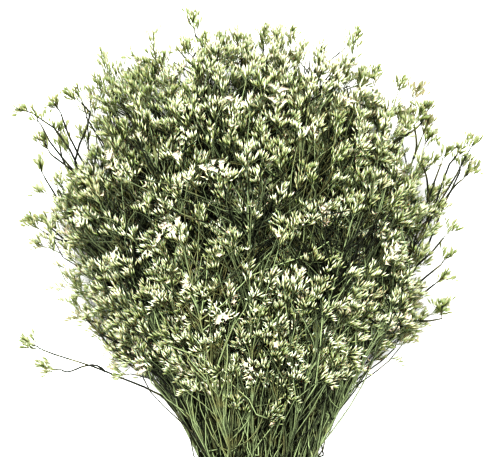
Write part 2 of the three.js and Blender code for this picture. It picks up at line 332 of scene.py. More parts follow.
@dataclass
class Skeleton:
    """The sprays, branches and heads of the whole bunch, grown as the CAD source grows them."""

    fan: Fan = field(default_factory=Fan)
    spray_count: int = 30
    disc_rim: float = 0.98
    lowest_flowers_y: float = 108
    lowest_flowers_side_rise: float = 42
    shoulder_y: float = 205
    top_y: float = 364
    dome_power: float = 0.7
    side_share: float = 0.42
    seat_depth: float = 0.3
    seat_radius: float = 0.97
    cell_fill: float = 0.95
    way_forward: float = 0.6
    way_outward: float = 0.6
    way_scatter: float = 0.5
    way_clearance: float = 2
    steepest_lift: float = 0.4
    length_scatter: float = 0.11
    head_centre: Triple = (0, 165, 48)
    seat_tries: int = 40000
    spacing: float = 11.5
    underside_spacing: float = 15.5
    underside_from: float = -0.45
    loose_tips: tuple[Triple, ...] = (
        *((-150, 156, 34), (-139, 140, 27), (141, 270, 50), (-138, 289, 64), (-149, 236, 26)),
        *((122, 180, 40), (-40, 366, 70), (-92, 320, 48), (105, 322, 47), (64, 352, 61)),
    )
    resting_tips: tuple[Pair, ...] = ((-86, 216), (-47, 262), (4, 290), (50, 258), (95, 220))
    resting_z: float = 5
    stem_radius: float = 1.25
    first_branch_y: float = 62
    branch_step: float = 5.5
    branch_arch: float = 0.09
    long_branch: float = 26
    least_along: float = 0.1
    least_alignment: float = 0.72
    root_share: float = 0.45
    branch_clearance: float = 2.1
    head_clearance: float = 5
    head_length: float = 22
    head_width: float = 10
    gap: float = 0.4
    straight_from_y: float = 120
    seed: int = 28
    sprays: list[Spray] = field(default_factory=list)
    heads: list[Head] = field(default_factory=list)
    stretch_owners: list[Spray] = field(default_factory=list)
    head_ends: Vector3 = field(default_factory=lambda: np.zeros((0, 2, 3)))
    stretch_ends: Vector3 = field(default_factory=lambda: np.zeros((0, 2, 3)))

    def grow(self) -> None:
        """Grows the stems, then the heads with their branches, then says how wide each head may be."""
        dice = Dice(self.seed)
        for i in range(self.spray_count):
            radius = self.disc_rim * math.sqrt((i + 0.5) / self.spray_count)
            angle = i * GOLDEN_ANGLE
            length = mix(1 - self.length_scatter, 1, dice.roll())
            self.sprays.append(Spray(radius * math.cos(angle), radius * math.sin(angle), length))
        for spray in self.sprays:
            self._grow_stem(spray)
        resting = [(x, y, self.resting_z) for x, y in self.resting_tips]
        for tip in [*self.loose_tips, *resting]:
            at = np.array(tip, float)
            opened = self.fan.place(1, 0, at[1])[0]
            spray = self.nearest(at[0] / opened, (at[2] - self.fan.place(0, 0, at[1])[2]) / opened)
            self._grow_branch(spray, at, self._head_direction(at, dice.scatter()), self.spacing / 2)
        for _ in range(self.seat_tries):
            self._try_seat(dice)
        self._widen_heads()

    def dome_y(self, radius: float) -> float:
        """Says how far along the bunch its dome reaches at a radius in the disc."""
        return mix(self.shoulder_y, self.top_y, max(0.0, 1 - radius * radius) ** self.dome_power)

    def nearest(self, a: float, b: float) -> Spray:
        """Finds the spray nearest to a place in the disc."""
        return min(self.sprays, key=lambda spray: math.hypot(spray.a - a, spray.b - b))

    def forward(self, at: Vector3) -> Vector3:
        """Gives the direction from the twine to a point."""
        return unit(at - self.fan.place(0, 0, 0))

    def outward(self, at: Vector3) -> Vector3:
        """Gives the direction from the middle of the flowers to a point."""
        return unit(at - np.array(self.head_centre, float))

    def _head_direction(self, at: Vector3, scatter: Vector3) -> Vector3:
        """Says which way a head points: forward, out from the bunch, and a little at random.

        Args:
            at: the middle of the head.
            scatter: the random part.

        Returns:
            The direction, of length one.
        """
        way = self.forward(at) * self.way_forward + self.outward(at) * self.way_outward
        way = unit(way + scatter * self.way_scatter)
        lowest = (self.way_clearance - at[2]) / (self.head_length / 2)
        if way[2] < lowest:
            way[2] = min(lowest, self.steepest_lift)
        return unit(way)

    def _add_head(self, head: Head) -> None:
        """Keeps a head and its two ends."""
        self.heads.append(head)
        self.head_ends = np.vstack([self.head_ends, [[head.base, head.end]]])

    def _add_stretches(self, spray: Spray, stretches: list[tuple[Vector3, Vector3]]) -> None:
        """Keeps straight stretches of stem or branch."""
        self.stretch_owners.extend([spray] * len(stretches))
        self.stretch_ends = np.vstack([self.stretch_ends, np.array(stretches)])

    def _grow_stem(self, spray: Spray) -> None:
        """Grows a main stem with its joints and the head at its end.

        Args:
            spray: the spray that it carries.
        """
        dome_y = self.dome_y(math.hypot(spray.a, spray.b))
        spray.top_y = mix(self.lowest_flowers_y, dome_y, spray.length)
        y = self.first_branch_y
        while y < spray.top_y - self.head_length:
            spray.joints.append(self.fan.joint(spray.a, spray.b, y))
            y += self.branch_step
        base = self.fan.place(spray.a, spray.b, spray.top_y - self.head_length / 2)
        way = unit(base - self.fan.place(spray.a, spray.b, self.first_branch_y))
        self._add_head(Head(spray, base, way, base + way * self.head_length, [], way))
        knots = [self.fan.place(spray.a, spray.b, y) for y in (0, self.straight_from_y)]
        self._add_stretches(spray, [(knots[0], knots[1]), (knots[1], base)])

    def _branch_to(self, spray: Spray, base: Vector3) -> tuple[Joint, list[Vector3]]:
        """Finds the branch that reaches a head by the least bend.

        Args:
            spray: the spray that carries it.
            base: where the head starts.

        Returns:
            The joint that the branch leaves, and its points.
        """
        at = np.array([joint.at for joint in spray.joints])
        forward = np.array([joint.forward for joint in spray.joints])
        used = np.array([joint.used for joint in spray.joints])
        span = base - at
        reach = np.linalg.norm(span, axis=1)
        along = np.einsum("ij,ij->i", span, forward) / reach
        cost = np.where(used, np.inf, reach / np.maximum(self.least_along, along) ** 2)
        best = int(np.argmin(cost))
        joint = spray.joints[best]
        middle = joint.at + (base - joint.at) * 0.5 + joint.forward * (self.branch_arch * reach[best])
        return joint, [joint.at, middle, base] if reach[best] > self.long_branch else [joint.at, base]

    def _grow_branch(self, spray: Spray, at: Vector3, way: Vector3, spacing: float) -> None:
        """Adds a head and its branch, if both are clear of all the others.

        Args:
            spray: the spray that carries them.
            at: the middle of the head.
            way: the direction in which it points.
            spacing: how far it must be from other heads.
        """
        base = at - way * (self.head_length / 2)
        end = at + way * (self.head_length / 2)
        near = np.linalg.norm(self.head_ends[:, 0] - base, axis=1) < 2 * self.head_length + spacing
        close = self.head_ends[near]
        if len(close) and (apart(base, end, close[:, 0], close[:, 1]) < spacing).any():
            return
        joint, path = self._branch_to(spray, base)
        if joint.used or unit(path[-1] - path[-2]) @ way < self.least_alignment:
            return
        stretches = list(zip(path, path[1:]))
        clear = [(path[0] + (path[1] - path[0]) * self.root_share, path[1]), *stretches[1:]]
        starts, ends = self.stretch_ends[:, 0], self.stretch_ends[:, 1]
        if (apart(base, end, starts, ends) < self.head_clearance).any():
            return
        for start, stop in clear:
            if (apart(start, stop, self.head_ends[:, 0], self.head_ends[:, 1]) < self.head_clearance).any():
                return
            if (apart(start, stop, starts, ends) < self.branch_clearance).any():
                return
        joint.used = True
        if len(path) > 2:
            spray.joints.append(Joint(path[1], unit(base - path[1])))
        self._add_head(Head(spray, base, way, end, path, joint.forward))
        self._add_stretches(spray, stretches)

    def seat(
        self, angle: float, pick: float, depth: float, spread: float = 1.0
    ) -> tuple[Spray, float, Vector3]:
        """Places a head on the domed outside of the bunch, or somewhat below it.

        Args:
            angle: where it is round the bunch.
            pick: where it is from the lowest flowers to the top, from 0 to 1.
            depth: how deep it sits, from 0 at the outside.
            spread: how far it stands out from the middle, as a share of its usual place.

        Returns:
            The spray that carries it, its height in the disc, and its point.
        """
        radius = 1.0
        if pick < self.side_share:
            lowest = self.lowest_flowers_y + self.lowest_flowers_side_rise * math.cos(angle) ** 2
            y = mix(lowest, self.shoulder_y, pick / self.side_share)
        else:
            radius = math.sqrt((pick - self.side_share) / (1 - self.side_share))
            y = self.dome_y(radius)
        radius *= self.seat_radius * (1 - self.seat_depth * depth) * spread
        spray = self.nearest(radius * math.cos(angle), radius * math.sin(angle))
        a = mix(spray.a, radius * math.cos(angle), self.cell_fill)
        b = mix(spray.b, radius * math.sin(angle), self.cell_fill)
        share = spray.length * (1 - self.seat_depth * depth)
        return spray, b, self.fan.place(a, b, mix(self.lowest_flowers_y, y, share))

    def _try_seat(self, dice: Dice) -> None:
        """Tries one more head somewhere on the domed outside of the bunch.

        Args:
            dice: the numbers that say where.
        """
        angle, pick, depth = 2 * math.pi * dice.roll(), dice.roll(), dice.roll()
        scatter = dice.scatter()
        spray, b, at = self.seat(angle, pick, depth)
        spacing = self.underside_spacing if b < self.underside_from else self.spacing
        self._grow_branch(spray, at, self._head_direction(at, scatter), spacing)

    def _widen_heads(self) -> None:
        """Gives each head the width that its neighbours leave it."""
        for i, head in enumerate(self.heads):
            others = np.delete(self.head_ends, i, axis=0)
            from_heads = apart(head.base, head.end, others[:, 0], others[:, 1]).min() / 2 - self.gap / 2
            foreign = self.stretch_ends[[owner is not head.spray for owner in self.stretch_owners]]
            from_stems = apart(head.base, head.end, foreign[:, 0], foreign[:, 1]).min()
            head.width = min(self.head_width, from_heads, from_stems - self.stem_radius - self.gap)


@dataclass(frozen=True, kw_only=True)
class Finish:
    """What the dry plant stuffs share: one even sheen, and colour and relief from the same grain."""

    name: str
    roughness: float
    ior: float = 1.45
    relief: float
    relief_mm: float

    def material(self) -> Material:
        """Makes the material from the colour and the height that the finish paints.

        Returns:
            The material.
        """
        material = bpy.data.materials.new(self.name)
        material.use_nodes = True
        tree = material.node_tree
        colour, height = self._paint(tree)
        dents = {"Height": height, "Strength": self.relief, "Distance": self.relief_mm * MILLIMETRE}
        bump = add_node(tree, "ShaderNodeBump", dents)
        shader = tree.nodes["Principled BSDF"]
        tree.links.new(colour, shader.inputs["Base Color"])
        tree.links.new(bump, shader.inputs["Normal"])
        shader.inputs["Roughness"].default_value = self.roughness
        shader.inputs["IOR"].default_value = self.ior
        return material

    def _paint(self, tree: NodeTree) -> tuple[NodeSocket, NodeSocket]:
        """Adds the nodes that give the colour and the height of the surface."""
        raise NotImplementedError


@dataclass(frozen=True, kw_only=True)
class DriedStem(Finish):
    """Air-dried statice stem: shrunk to fine ribs along its length, dull, green with straw-brown flecks.

    Ribs of about 0.2 mm are drawn 0.5 mm wide, so that they show. The attribute fading says how light a stem is:
    at random, and dark as painted shade at the rim of the bunch, on loose tips and in hollows; ripeness says how
    far it has dried to straw.
    """

    name: str = "air_dried_green_stem"
    shade: str = "#101504"
    light: str = "#87936F"
    straw: str = "#716E49"
    roughness: float = 0.72
    relief: float = 0.5
    relief_mm: float = 0.15
    rib_mm: float = 0.5
    rib_stretch: float = 0.08
    rib_contrast: float = 0.9
    fleck_mm: float = 9.0
    fleck_contrast: float = 2.4
    fleck_level: float = -1.25

    def _paint(self, tree: NodeTree) -> tuple[NodeSocket, NodeSocket]:
        """Ribs the stem from shade to light, and flecks it with straw.

        Args:
            tree: the material's nodes.

        Returns:
            The colour, and the height of the relief.
        """
        place = add_node(tree, "ShaderNodeTexCoord", output="Object")
        stretch = (1, self.rib_stretch, 1)
        stretched = add_node(tree, "ShaderNodeMapping", {"Vector": place, "Scale": stretch})
        rib_scale, fleck_scale = (1 / (size * MILLIMETRE) for size in (self.rib_mm, self.fleck_mm))
        grains = ((stretched, rib_scale, 2.0), (place, fleck_scale, 4.0))
        ribs, flecks = (
            add_node(tree, "ShaderNodeTexNoise", {"Vector": at, "Scale": scale, "Detail": detail})
            for at, scale, detail in grains
        )
        tone = add_node(tree, "ShaderNodeAttribute", output="Fac", attribute_name="fading")
        shares = {0: ribs, 1: self.rib_contrast, 2: tone}
        lightness = add_node(tree, "ShaderNodeMath", shares, operation="MULTIPLY_ADD", use_clamp=True)
        greens = {"Factor": lightness, "A": linear(self.shade), "B": linear(self.light)}
        green = add_node(tree, "ShaderNodeMix", greens, data_type="RGBA")
        ripeness = add_node(tree, "ShaderNodeAttribute", output="Fac", attribute_name="ripeness")
        spots = {0: flecks, 1: self.fleck_contrast, 2: self.fleck_level}
        dryness = add_node(tree, "ShaderNodeMath", spots, operation="MULTIPLY_ADD")
        straw = add_node(tree, "ShaderNodeMath", {0: dryness, 1: ripeness}, operation="ADD", use_clamp=True)
        dried = {"Factor": straw, "A": green, "B": linear(self.straw)}
        return add_node(tree, "ShaderNodeMix", dried, data_type="RGBA"), ribs


@dataclass(frozen=True, kw_only=True)
class DriedFloret(Finish):
    """Dried statice calyx: a papery funnel, green at its foot and bleached to cream at its pointed mouth.

    The three greens and the three pales run from foot to mouth. The attribute along says how far along the
    floret a point is, ripeness how bleached the floret is, lowered as painted shade inside the bunch and at its
    rim, and fading how brown.
    """

    green: tuple[str, str, str]
    pale: tuple[str, str, str]
    faded: str
    stops: Triple = (0.02, 0.34, 0.88)
    roughness: float = 0.8
    ior: float = 1.4
    relief: float = 0.4
    relief_mm: float = 0.1
    vein_mm: float = 0.45
    glow: float = 0.12
    glow_mm: float = 0.8

    def material(self) -> Material:
        """Makes the material, which lets a little light through, as thin paper does.

        Returns:
            The material.
        """
        material = super().material()
        shader = material.node_tree.nodes["Principled BSDF"]
        shader.inputs["Subsurface Weight"].default_value = self.glow
        shader.inputs["Subsurface Scale"].default_value = self.glow_mm * MILLIMETRE
        return material

    def _paint(self, tree: NodeTree) -> tuple[NodeSocket, NodeSocket]:
        """Colours the floret from foot to mouth, bleaches and browns it, and gives it veins.

        Args:
            tree: the material's nodes.

        Returns:
            The colour, and the height of the relief.
        """
        along, ripeness, fading = (
            add_node(tree, "ShaderNodeAttribute", output="Fac", attribute_name=name)
            for name in ("along", "ripeness", "fading")
        )
        runs = []
        for colours in (self.green, self.pale):
            run = add_node(tree, "ShaderNodeValToRGB", {"Fac": along})
            elements = run.node.color_ramp.elements
            elements.new(0.5)
            for element, stop, colour in zip(elements, self.stops, colours):
                element.position = stop
                element.color = linear(colour)
            runs.append(run)
        bleached = {"Factor": ripeness, "A": runs[0], "B": runs[1]}
        fresh = add_node(tree, "ShaderNodeMix", bleached, data_type="RGBA")
        place = add_node(tree, "ShaderNodeTexCoord", output="Object")
        grain = 1 / (self.vein_mm * MILLIMETRE)
        veins = add_node(tree, "ShaderNodeTexNoise", {"Vector": place, "Scale": grain, "Detail": 2.0})
        browned = {"Factor": fading, "A": fresh, "B": linear(self.faded)}
        return add_node(tree, "ShaderNodeMix", browned, data_type="RGBA"), veins


@dataclass(frozen=True, kw_only=True)
class SpunJute(Finish):
    """Three-ply jute twine: spun from coarse bast fibre, matt, golden brown with darker and paler fibres.

    The fibres run along the ply. They are 0.05 mm thick and drawn about 0.35 mm wide, so that they
    show. The attributes run, in metres, and around, from 0 to 1, say where on the twine a point is.
    """

    name: str = "three_ply_jute"
    shade: str = "#7D5F38"
    light: str = "#C9A977"
    roughness: float = 0.9
    relief: float = 0.6
    relief_mm: float = 0.2
    fibres_around: float = 22
    fibres_a_metre: float = 220

    def _paint(self, tree: NodeTree) -> tuple[NodeSocket, NodeSocket]:
        """Draws long fibres in two browns.

        Args:
            tree: the material's nodes.

        Returns:
            The colour, and the height of the relief.
        """
        run, around = (
            add_node(tree, "ShaderNodeAttribute", output="Fac", attribute_name=name)
            for name in ("run", "around")
        )
        place = add_node(tree, "ShaderNodeCombineXYZ", {"X": around, "Y": run})
        stretch = (self.fibres_around, self.fibres_a_metre, 1)
        stretched = add_node(tree, "ShaderNodeMapping", {"Vector": place, "Scale": stretch})
        grain = {"Vector": stretched, "Scale": 1.0, "Detail": 4.0, "Roughness": 0.7}
        fibres = add_node(tree, "ShaderNodeTexNoise", grain)
        browns = {"Factor": fibres, "A": linear(self.shade), "B": linear(self.light)}
        return add_node(tree, "ShaderNodeMix", browns, data_type="RGBA"), fibres


class PlanPoint(IntEnum):
    """What a point of a spray's plan becomes."""

    STEM = 0
    BRANCH = 1
    TWIG = 2
    BUD = 3
    OPEN = 4


@dataclass
class SprayPlan:
    """The points of one spray, in millimetres: lines of stem and twig, and the foot of every floret."""

    points: list[Vector3] = field(default_factory=list)
    edges: list[tuple[int, int]] = field(default_factory=list)
    kind: list[int] = field(default_factory=list)
    thickness: list[float] = field(default_factory=list)
    way: list[Vector3] = field(default_factory=list)
    size: list[Vector3] = field(default_factory=list)
    ripeness: list[float] = field(default_factory=list)
    fading: list[float] = field(default_factory=list)

    def add_line(self, kind: PlanPoint, points: Vector3, radii: Pair, straw: float, tone: float) -> None:
        """Adds a stem or twig.

        Args:
            kind: STEM, BRANCH or TWIG.
            points: its points, one a row.
            radii: its radius at the first and at the last point.
            straw: how far it has dried to straw colour, from 0 to 1.
            tone: how light it is; its ribs are all dark at -0.9 and all light at 1.
        """
        first = len(self.points)
        count = len(points)
        self.points.extend(points)
        self.edges.extend((first + i, first + i + 1) for i in range(count - 1))
        self.kind.extend([int(kind)] * count)
        self.thickness.extend(np.linspace(*radii, count))
        self.way.extend(np.zeros((count, 3)))
        self.size.extend(np.ones((count, 3)))
        self.ripeness.extend([straw] * count)
        self.fading.extend([tone] * count)

    def add_floret(
        self, kind: PlanPoint, foot: Vector3, way: Vector3, size: Vector3, ripeness: float, fading: float
    ) -> None:
        """Adds a floret.

        Args:
            kind: BUD or OPEN.
            foot: where it sits.
            way: the direction in which it points.
            size: its scale across, across and along.
            ripeness: from green at 0 to bleached at 1.
            fading: from fresh at 0 to brown at 1.
        """
        self.points.append(foot)
        self.kind.append(int(kind))
        self.thickness.append(0.0)
        self.way.append(way)
        self.size.append(size)
        self.ripeness.append(ripeness)
        self.fading.append(fading)

    def mesh(self, name: str, offset: Vector3) -> Mesh:
        """Makes the plan a mesh of points and edges.

        Args:
            name: the mesh's name.
            offset: where the twine is in the part's frame, in metres.

        Returns:
            The mesh, in metres in the part's frame, with what each point becomes as attributes.
        """
        mesh = bpy.data.meshes.new(name)
        mesh.from_pydata((np.array(self.points) * MILLIMETRE + offset).tolist(), self.edges, [])
        for label, kind, key, values in (
            ("kind", "INT", "value", np.array(self.kind, np.int32)),
            ("thickness", "FLOAT", "value", np.array(self.thickness) * MILLIMETRE),
            ("way", "FLOAT_VECTOR", "vector", np.array(self.way)),
            ("size", "FLOAT_VECTOR", "vector", np.array(self.size)),
            ("ripeness", "FLOAT", "value", np.array(self.ripeness)),
            ("fading", "FLOAT", "value", np.array(self.fading)),
        ):
            mesh.attributes.new(label, kind, "POINT").data.foreach_set(key, values.ravel())
        return mesh


@dataclass
class FloretPatterns:
    """The two florets that are repeated over the bunch, in millimetres, foot at the origin and upright.

    The ring of the bud, and the throat, the lobes and the notches of the open floret, are each a share
    of its length and a radius.
    """

    bud_sides: int = 5
    bud_length: float = 7.3
    bud_ring: Pair = (0.62, 0.55)
    lobes: int = 5
    open_length: float = 4.6
    throat: Pair = (0.5, 0.5)
    lobe: Pair = (0.97, 2.5)
    notch: Pair = (0.84, 1.3)
    eye: float = 0.72

    def bud(self) -> Object:
        """Makes the closed floret: a slim funnel with a pointed mouth.

        Returns:
            The pattern, which is in no collection.
        """
        ring = self._ring(self.bud_ring, self.bud_sides, self.bud_length)
        points = [(0.0, 0.0, 0.0), *ring, (0.0, 0.0, self.bud_length)]
        triangles = []
        for i in range(self.bud_sides):
            here, after = 1 + i, 1 + (i + 1) % self.bud_sides
            triangles += [(0, after, here), (here, after, len(points) - 1)]
        return self._object("statice_bud", points, triangles, self.bud_length)

    def open(self) -> Object:
        """Makes the open floret: a short tube whose mouth spreads into five lobes round a low eye.

        Returns:
            The pattern, which is in no collection.
        """
        points = [(0.0, 0.0, 0.0), *self._ring(self.throat, self.lobes, self.open_length)]
        star = len(points)
        for share, radius in [self.lobe, self.notch] * self.lobes:
            angle = math.pi * (len(points) - star) / self.lobes
            points.append((radius * math.cos(angle), radius * math.sin(angle), share * self.open_length))
        eye = len(points)
        points.append((0.0, 0.0, self.eye * self.open_length))
        triangles = []
        for i in range(self.lobes):
            here, after = 1 + i, 1 + (i + 1) % self.lobes
            lobe, notch, next_lobe = (star + (2 * i + k) % (2 * self.lobes) for k in range(3))
            triangles += [(0, after, here), (here, notch, lobe), (here, after, notch)]
            triangles += [(after, next_lobe, notch), (lobe, notch, eye), (notch, next_lobe, eye)]
        return self._object("statice_open", points, triangles, self.open_length)

    def _ring(self, ring: Pair, sides: int, length: float) -> list[Triple]:
        """Places the corners of a ring.

        Args:
            ring: its height as a share of the length, and its radius.
            sides: how many corners it has.
            length: the floret's length.

        Returns:
            The corners in millimetres.
        """
        share, radius = ring
        turns = [2 * math.pi * i / sides for i in range(sides)]
        return [(radius * math.cos(turn), radius * math.sin(turn), share * length) for turn in turns]

    def _object(self, name: str, points: list[Triple], triangles: list, length: float) -> Object:
        """Makes points and triangles an object that knows how far along each point is.

        Args:
            name: the object's name.
            points: the points in millimetres.
            triangles: three point numbers each.
            length: the floret's length in millimetres.

        Returns:
            The object, which is in no collection.
        """
        mesh = bpy.data.meshes.new(name)
        places = np.array(points) * MILLIMETRE
        mesh.from_pydata(places.tolist(), [], triangles)
        along = mesh.attributes.new("along", "FLOAT", "POINT")
        along.data.foreach_set("value", np.clip(places[:, 2] / (length * MILLIMETRE), 0, 1))
        mesh.shade_smooth()
        return bpy.data.objects.new(name, mesh)


@dataclass
class SprayTree:
    """The geometry nodes that turn a spray's plan into stems, twigs and florets."""

    florets: dict[PlanPoint, Object]
    materials: dict[PlanPoint, Material]
    stem_sides: int = 6
    branch_sides: int = 4
    twig_sides: int = 3
    floret_size: float = 1.0
    seed: int = 7

    def values(self) -> dict[str, object]:
        """Gives the tree's inputs by name."""
        sides = {"Stem sides": self.stem_sides, "Branch sides": self.branch_sides, "Twig sides": self.twig_sides}
        return {**sides, "Floret size": self.floret_size, "Seed": self.seed}

    def build(self) -> NodeTree:
        """Builds the node tree.

        Returns:
            The tree, with the sides of stem and twig, the size of the florets and the seed as inputs.
        """
        types = {name: "Float" if name == "Floret size" else "Int" for name in self.values()}
        tree, given = start_tree("statice_spray", {"Plan": "Geometry", **types}, "Spray")
        joined = add_node(tree, "GeometryNodeJoinGeometry")
        for kind in PlanPoint:
            named = add_node(tree, "GeometryNodeInputNamedAttribute", {"Name": "kind"}, data_type="INT")
            same = {"A": named, "B": int(kind)}
            own = add_node(tree, "FunctionNodeCompare", same, data_type="INT", operation="EQUAL")
            chosen = {"Geometry": given["Plan"], "Selection": own}
            points = add_node(tree, "GeometryNodeSeparateGeometry", chosen)
            if kind in self.florets:
                shape = self._florets(tree, points, given, self.florets[kind])
            else:
                shape = self._tubes(tree, points, given[f"{kind.name.capitalize()} sides"])
            plain = add_node(tree, "GeometryNodeRealizeInstances", {"Geometry": shape})
            dress = {"Geometry": plain, "Material": self.materials[kind]}
            tree.links.new(add_node(tree, "GeometryNodeSetMaterial", dress), joined.node.inputs[0])
        add_node(tree, "NodeGroupOutput", {0: joined})
        return tree

    def _tubes(self, tree: NodeTree, points: NodeSocket, sides: NodeSocket) -> NodeSocket:
        """Turns lines into closed tubes as thick as their points say.

        Args:
            tree: the node tree.
            points: the lines.
            sides: how many sides a tube has.

        Returns:
            The tubes.
        """
        lines = add_node(tree, "GeometryNodeMeshToCurve", {"Mesh": points})
        ring = add_node(tree, "GeometryNodeCurvePrimitiveCircle", {"Resolution": sides, "Radius": 1.0})
        thick = {"Name": "thickness"}
        thickness = add_node(tree, "GeometryNodeInputNamedAttribute", thick, data_type="FLOAT")
        sweep = {"Curve": lines, "Profile Curve": ring, "Scale": thickness, "Fill Caps": True}
        tube = add_node(tree, "GeometryNodeCurveToMesh", sweep)
        return add_node(tree, "GeometryNodeSetShadeSmooth", {"Geometry": tube})

    def _florets(self, tree: NodeTree, feet: NodeSocket, given: NodeOutputs, pattern: Object) -> NodeSocket:
        """Puts a floret on every foot, pointed its way and turned at random about itself.

        Args:
            tree: the node tree.
            feet: the points that carry a floret.
            given: the tree's inputs.
            pattern: the floret that is repeated.

        Returns:
            The florets.
        """
        way, size = (
            add_node(tree, "GeometryNodeInputNamedAttribute", {"Name": name}, data_type="FLOAT_VECTOR")
            for name in ("way", "size")
        )
        aimed = add_node(tree, "FunctionNodeAlignRotationToVector", {"Vector": way}, axis="Z")
        chance = {"Min": 0.0, "Max": 2 * math.pi, "Seed": given["Seed"]}
        angle = add_node(tree, "FunctionNodeRandomValue", chance, data_type="FLOAT")
        turn = add_node(tree, "FunctionNodeAxisAngleToRotation", {"Axis": (0, 0, 1), "Angle": angle})
        turns = {"Rotation": aimed, "Rotate By": turn}
        turned = add_node(tree, "FunctionNodeRotateRotation", turns, rotation_space="LOCAL")
        scales = {"Vector": size, "Scale": given["Floret size"]}
        scale = add_node(tree, "ShaderNodeVectorMath", scales, operation="SCALE")
        shape = add_node(tree, "GeometryNodeObjectInfo", {"Object": pattern}, output="Geometry")
        place = {"Points": feet, "Instance": shape, "Rotation": turned, "Scale": scale}
        return add_node(tree, "GeometryNodeInstanceOnPoints", place)


@dataclass
class BunchForm:
    """The bunch seen from above: its outline, where it is full or hollow, and where painted shade makes its
    florets greener and darker.

    A bulge or a patch is x, y, its breadth, and how far it pushes the outline out or fills the bunch.
    Between the patches, two crossed waves that sway make clumps and hollows in no order.
    """

    skeleton: Skeleton
    bulges: tuple[Four, ...] = (
        *((-80, 335, 36, 17), (-132, 206, 44, 34), (-128, 284, 24, -27), (-84, 140, 31, 13)),
        *((106, 158, 38, 20), (112, 203, 22, -18), (116, 290, 40, -28), (32, 352, 20, -7)),
        *((78, 334, 18, -14), (-40, 362, 24, -16)),
    )
    patches: tuple[Four, ...] = (
        *((-6, 214, 15, -1.2), (38, 262, 15, -1.2), (-26, 285, 16, -0.7), (-65, 214, 14, -0.6)),
        *((54, 214, 24, 0.8), (52, 290, 20, 0.6), (12, 346, 17, 0.8), (66, 320, 14, 0.5)),
        *((-125, 210, 26, 0.8), (-125, 258, 16, 0.6), (112, 256, 16, 0.7), (112, 198, 12, -1.0)),
        *((-108, 172, 14, -0.8), (90, 314, 18, 0.6)),
    )
    clump: float = 52.0
    waves: tuple[Four, Four] = ((6.3, 1.9, 2.2, 0.0), (5.6, 2.1, 2.6, 0.8))
    even_fullness: float = 0.62
    unevenness: float = 0.75
    loose_from: float = 5.0
    # Painted shade: florets go greener and darker across the rim's breadth and with depth below the dome.
    rim_breadth: float = 30.0
    rim_painted_light: float = 0.08
    shade_depth: float = 45.0
    deep_painted_light: float = 0.2

    def bulge(self, at: Vector3) -> Vector3:
        """Moves a point outward where the bunch bulges beyond its even dome.

        Args:
            at: the point.

        Returns:
            The point that stands out as far as the bulges push it.
        """
        outward = at - np.array([0, self.skeleton.head_centre[1], at[2]])
        outward = outward / max(1.0, float(np.linalg.norm(outward)))
        return at + outward * self.push(at)

    def push(self, at: Vector3) -> float:
        """Says how far the bunch stands out beyond its even dome at a point."""
        return sum(push * nearness(at, x, y, breadth) for x, y, breadth, push in self.bulges)

    def margin(self, at: Vector3) -> float:
        """Says how far inside the outline of the bunch a point is, seen from above, in millimetres.

        Args:
            at: the point.

        Returns:
            The distance, which is below zero outside.
        """
        half = self.skeleton.fan.place(1, 0, at[1])[0]
        across = abs(at[0]) / half
        return min((1 - across) * half, self.skeleton.dome_y(across) - at[1]) + self.push(at)

    def least_margin(self, line: Vector3) -> float:
        """Says how far inside the outline a line stays, from its second point on."""
        return min(self.margin(at) for at in line[1:])

    def loose(self, at: Vector3) -> bool:
        """Says whether a point lies outside the outline, on a loose tip."""
        return self.margin(at) < -self.loose_from

    def painted_light_share(self, at: Vector3) -> float:
        """Says how far the florets at a point are painted as lit: 1 on top, less inside and at the rim, as
        painted shade.

        Args:
            at: the point.

        Returns:
            The share, from 0 to 1.
        """
        fan, skeleton = self.skeleton.fan, self.skeleton
        across = at[0] / fan.place(1, 0, at[1])[0]
        climb = np.clip((at[1] - skeleton.shoulder_y) / (skeleton.top_y - skeleton.shoulder_y), 0, 1)
        rise = 1 - climb ** (1 / skeleton.dome_power) - across * across
        top = fan.place(0, math.sqrt(max(0.0, rise)), at[1])[2]
        # Painted shade: the share drops towards the rim and with depth below the top of the dome.
        rim = np.clip(self.margin(at) / self.rim_breadth, 0, 1)
        depth = np.clip((top - at[2]) / self.shade_depth, 0, 1)
        return float(mix(self.rim_painted_light, 1, rim) * mix(1, self.deep_painted_light, depth))

    def fullness(self, at: Vector3) -> float:
        """Says how full the bunch is at a point.

        Args:
            at: the point.

        Returns:
            The share, from 0 in a hollow to 1 in a clump.
        """
        x, y = at[0] / self.clump, at[1] / self.clump
        across, along = (
            math.sin(turn * u + sway * math.sin(cross * v) + shift)
            for (turn, sway, cross, shift), (u, v) in zip(self.waves, ((x, y), (y, x)))
        )
        full = self.even_fullness + self.unevenness * (across * along)
        for patch_x, patch_y, breadth, gain in self.patches:
            full += gain * nearness(at, patch_x, patch_y, breadth)
        return float(np.clip(full, 0, 1))


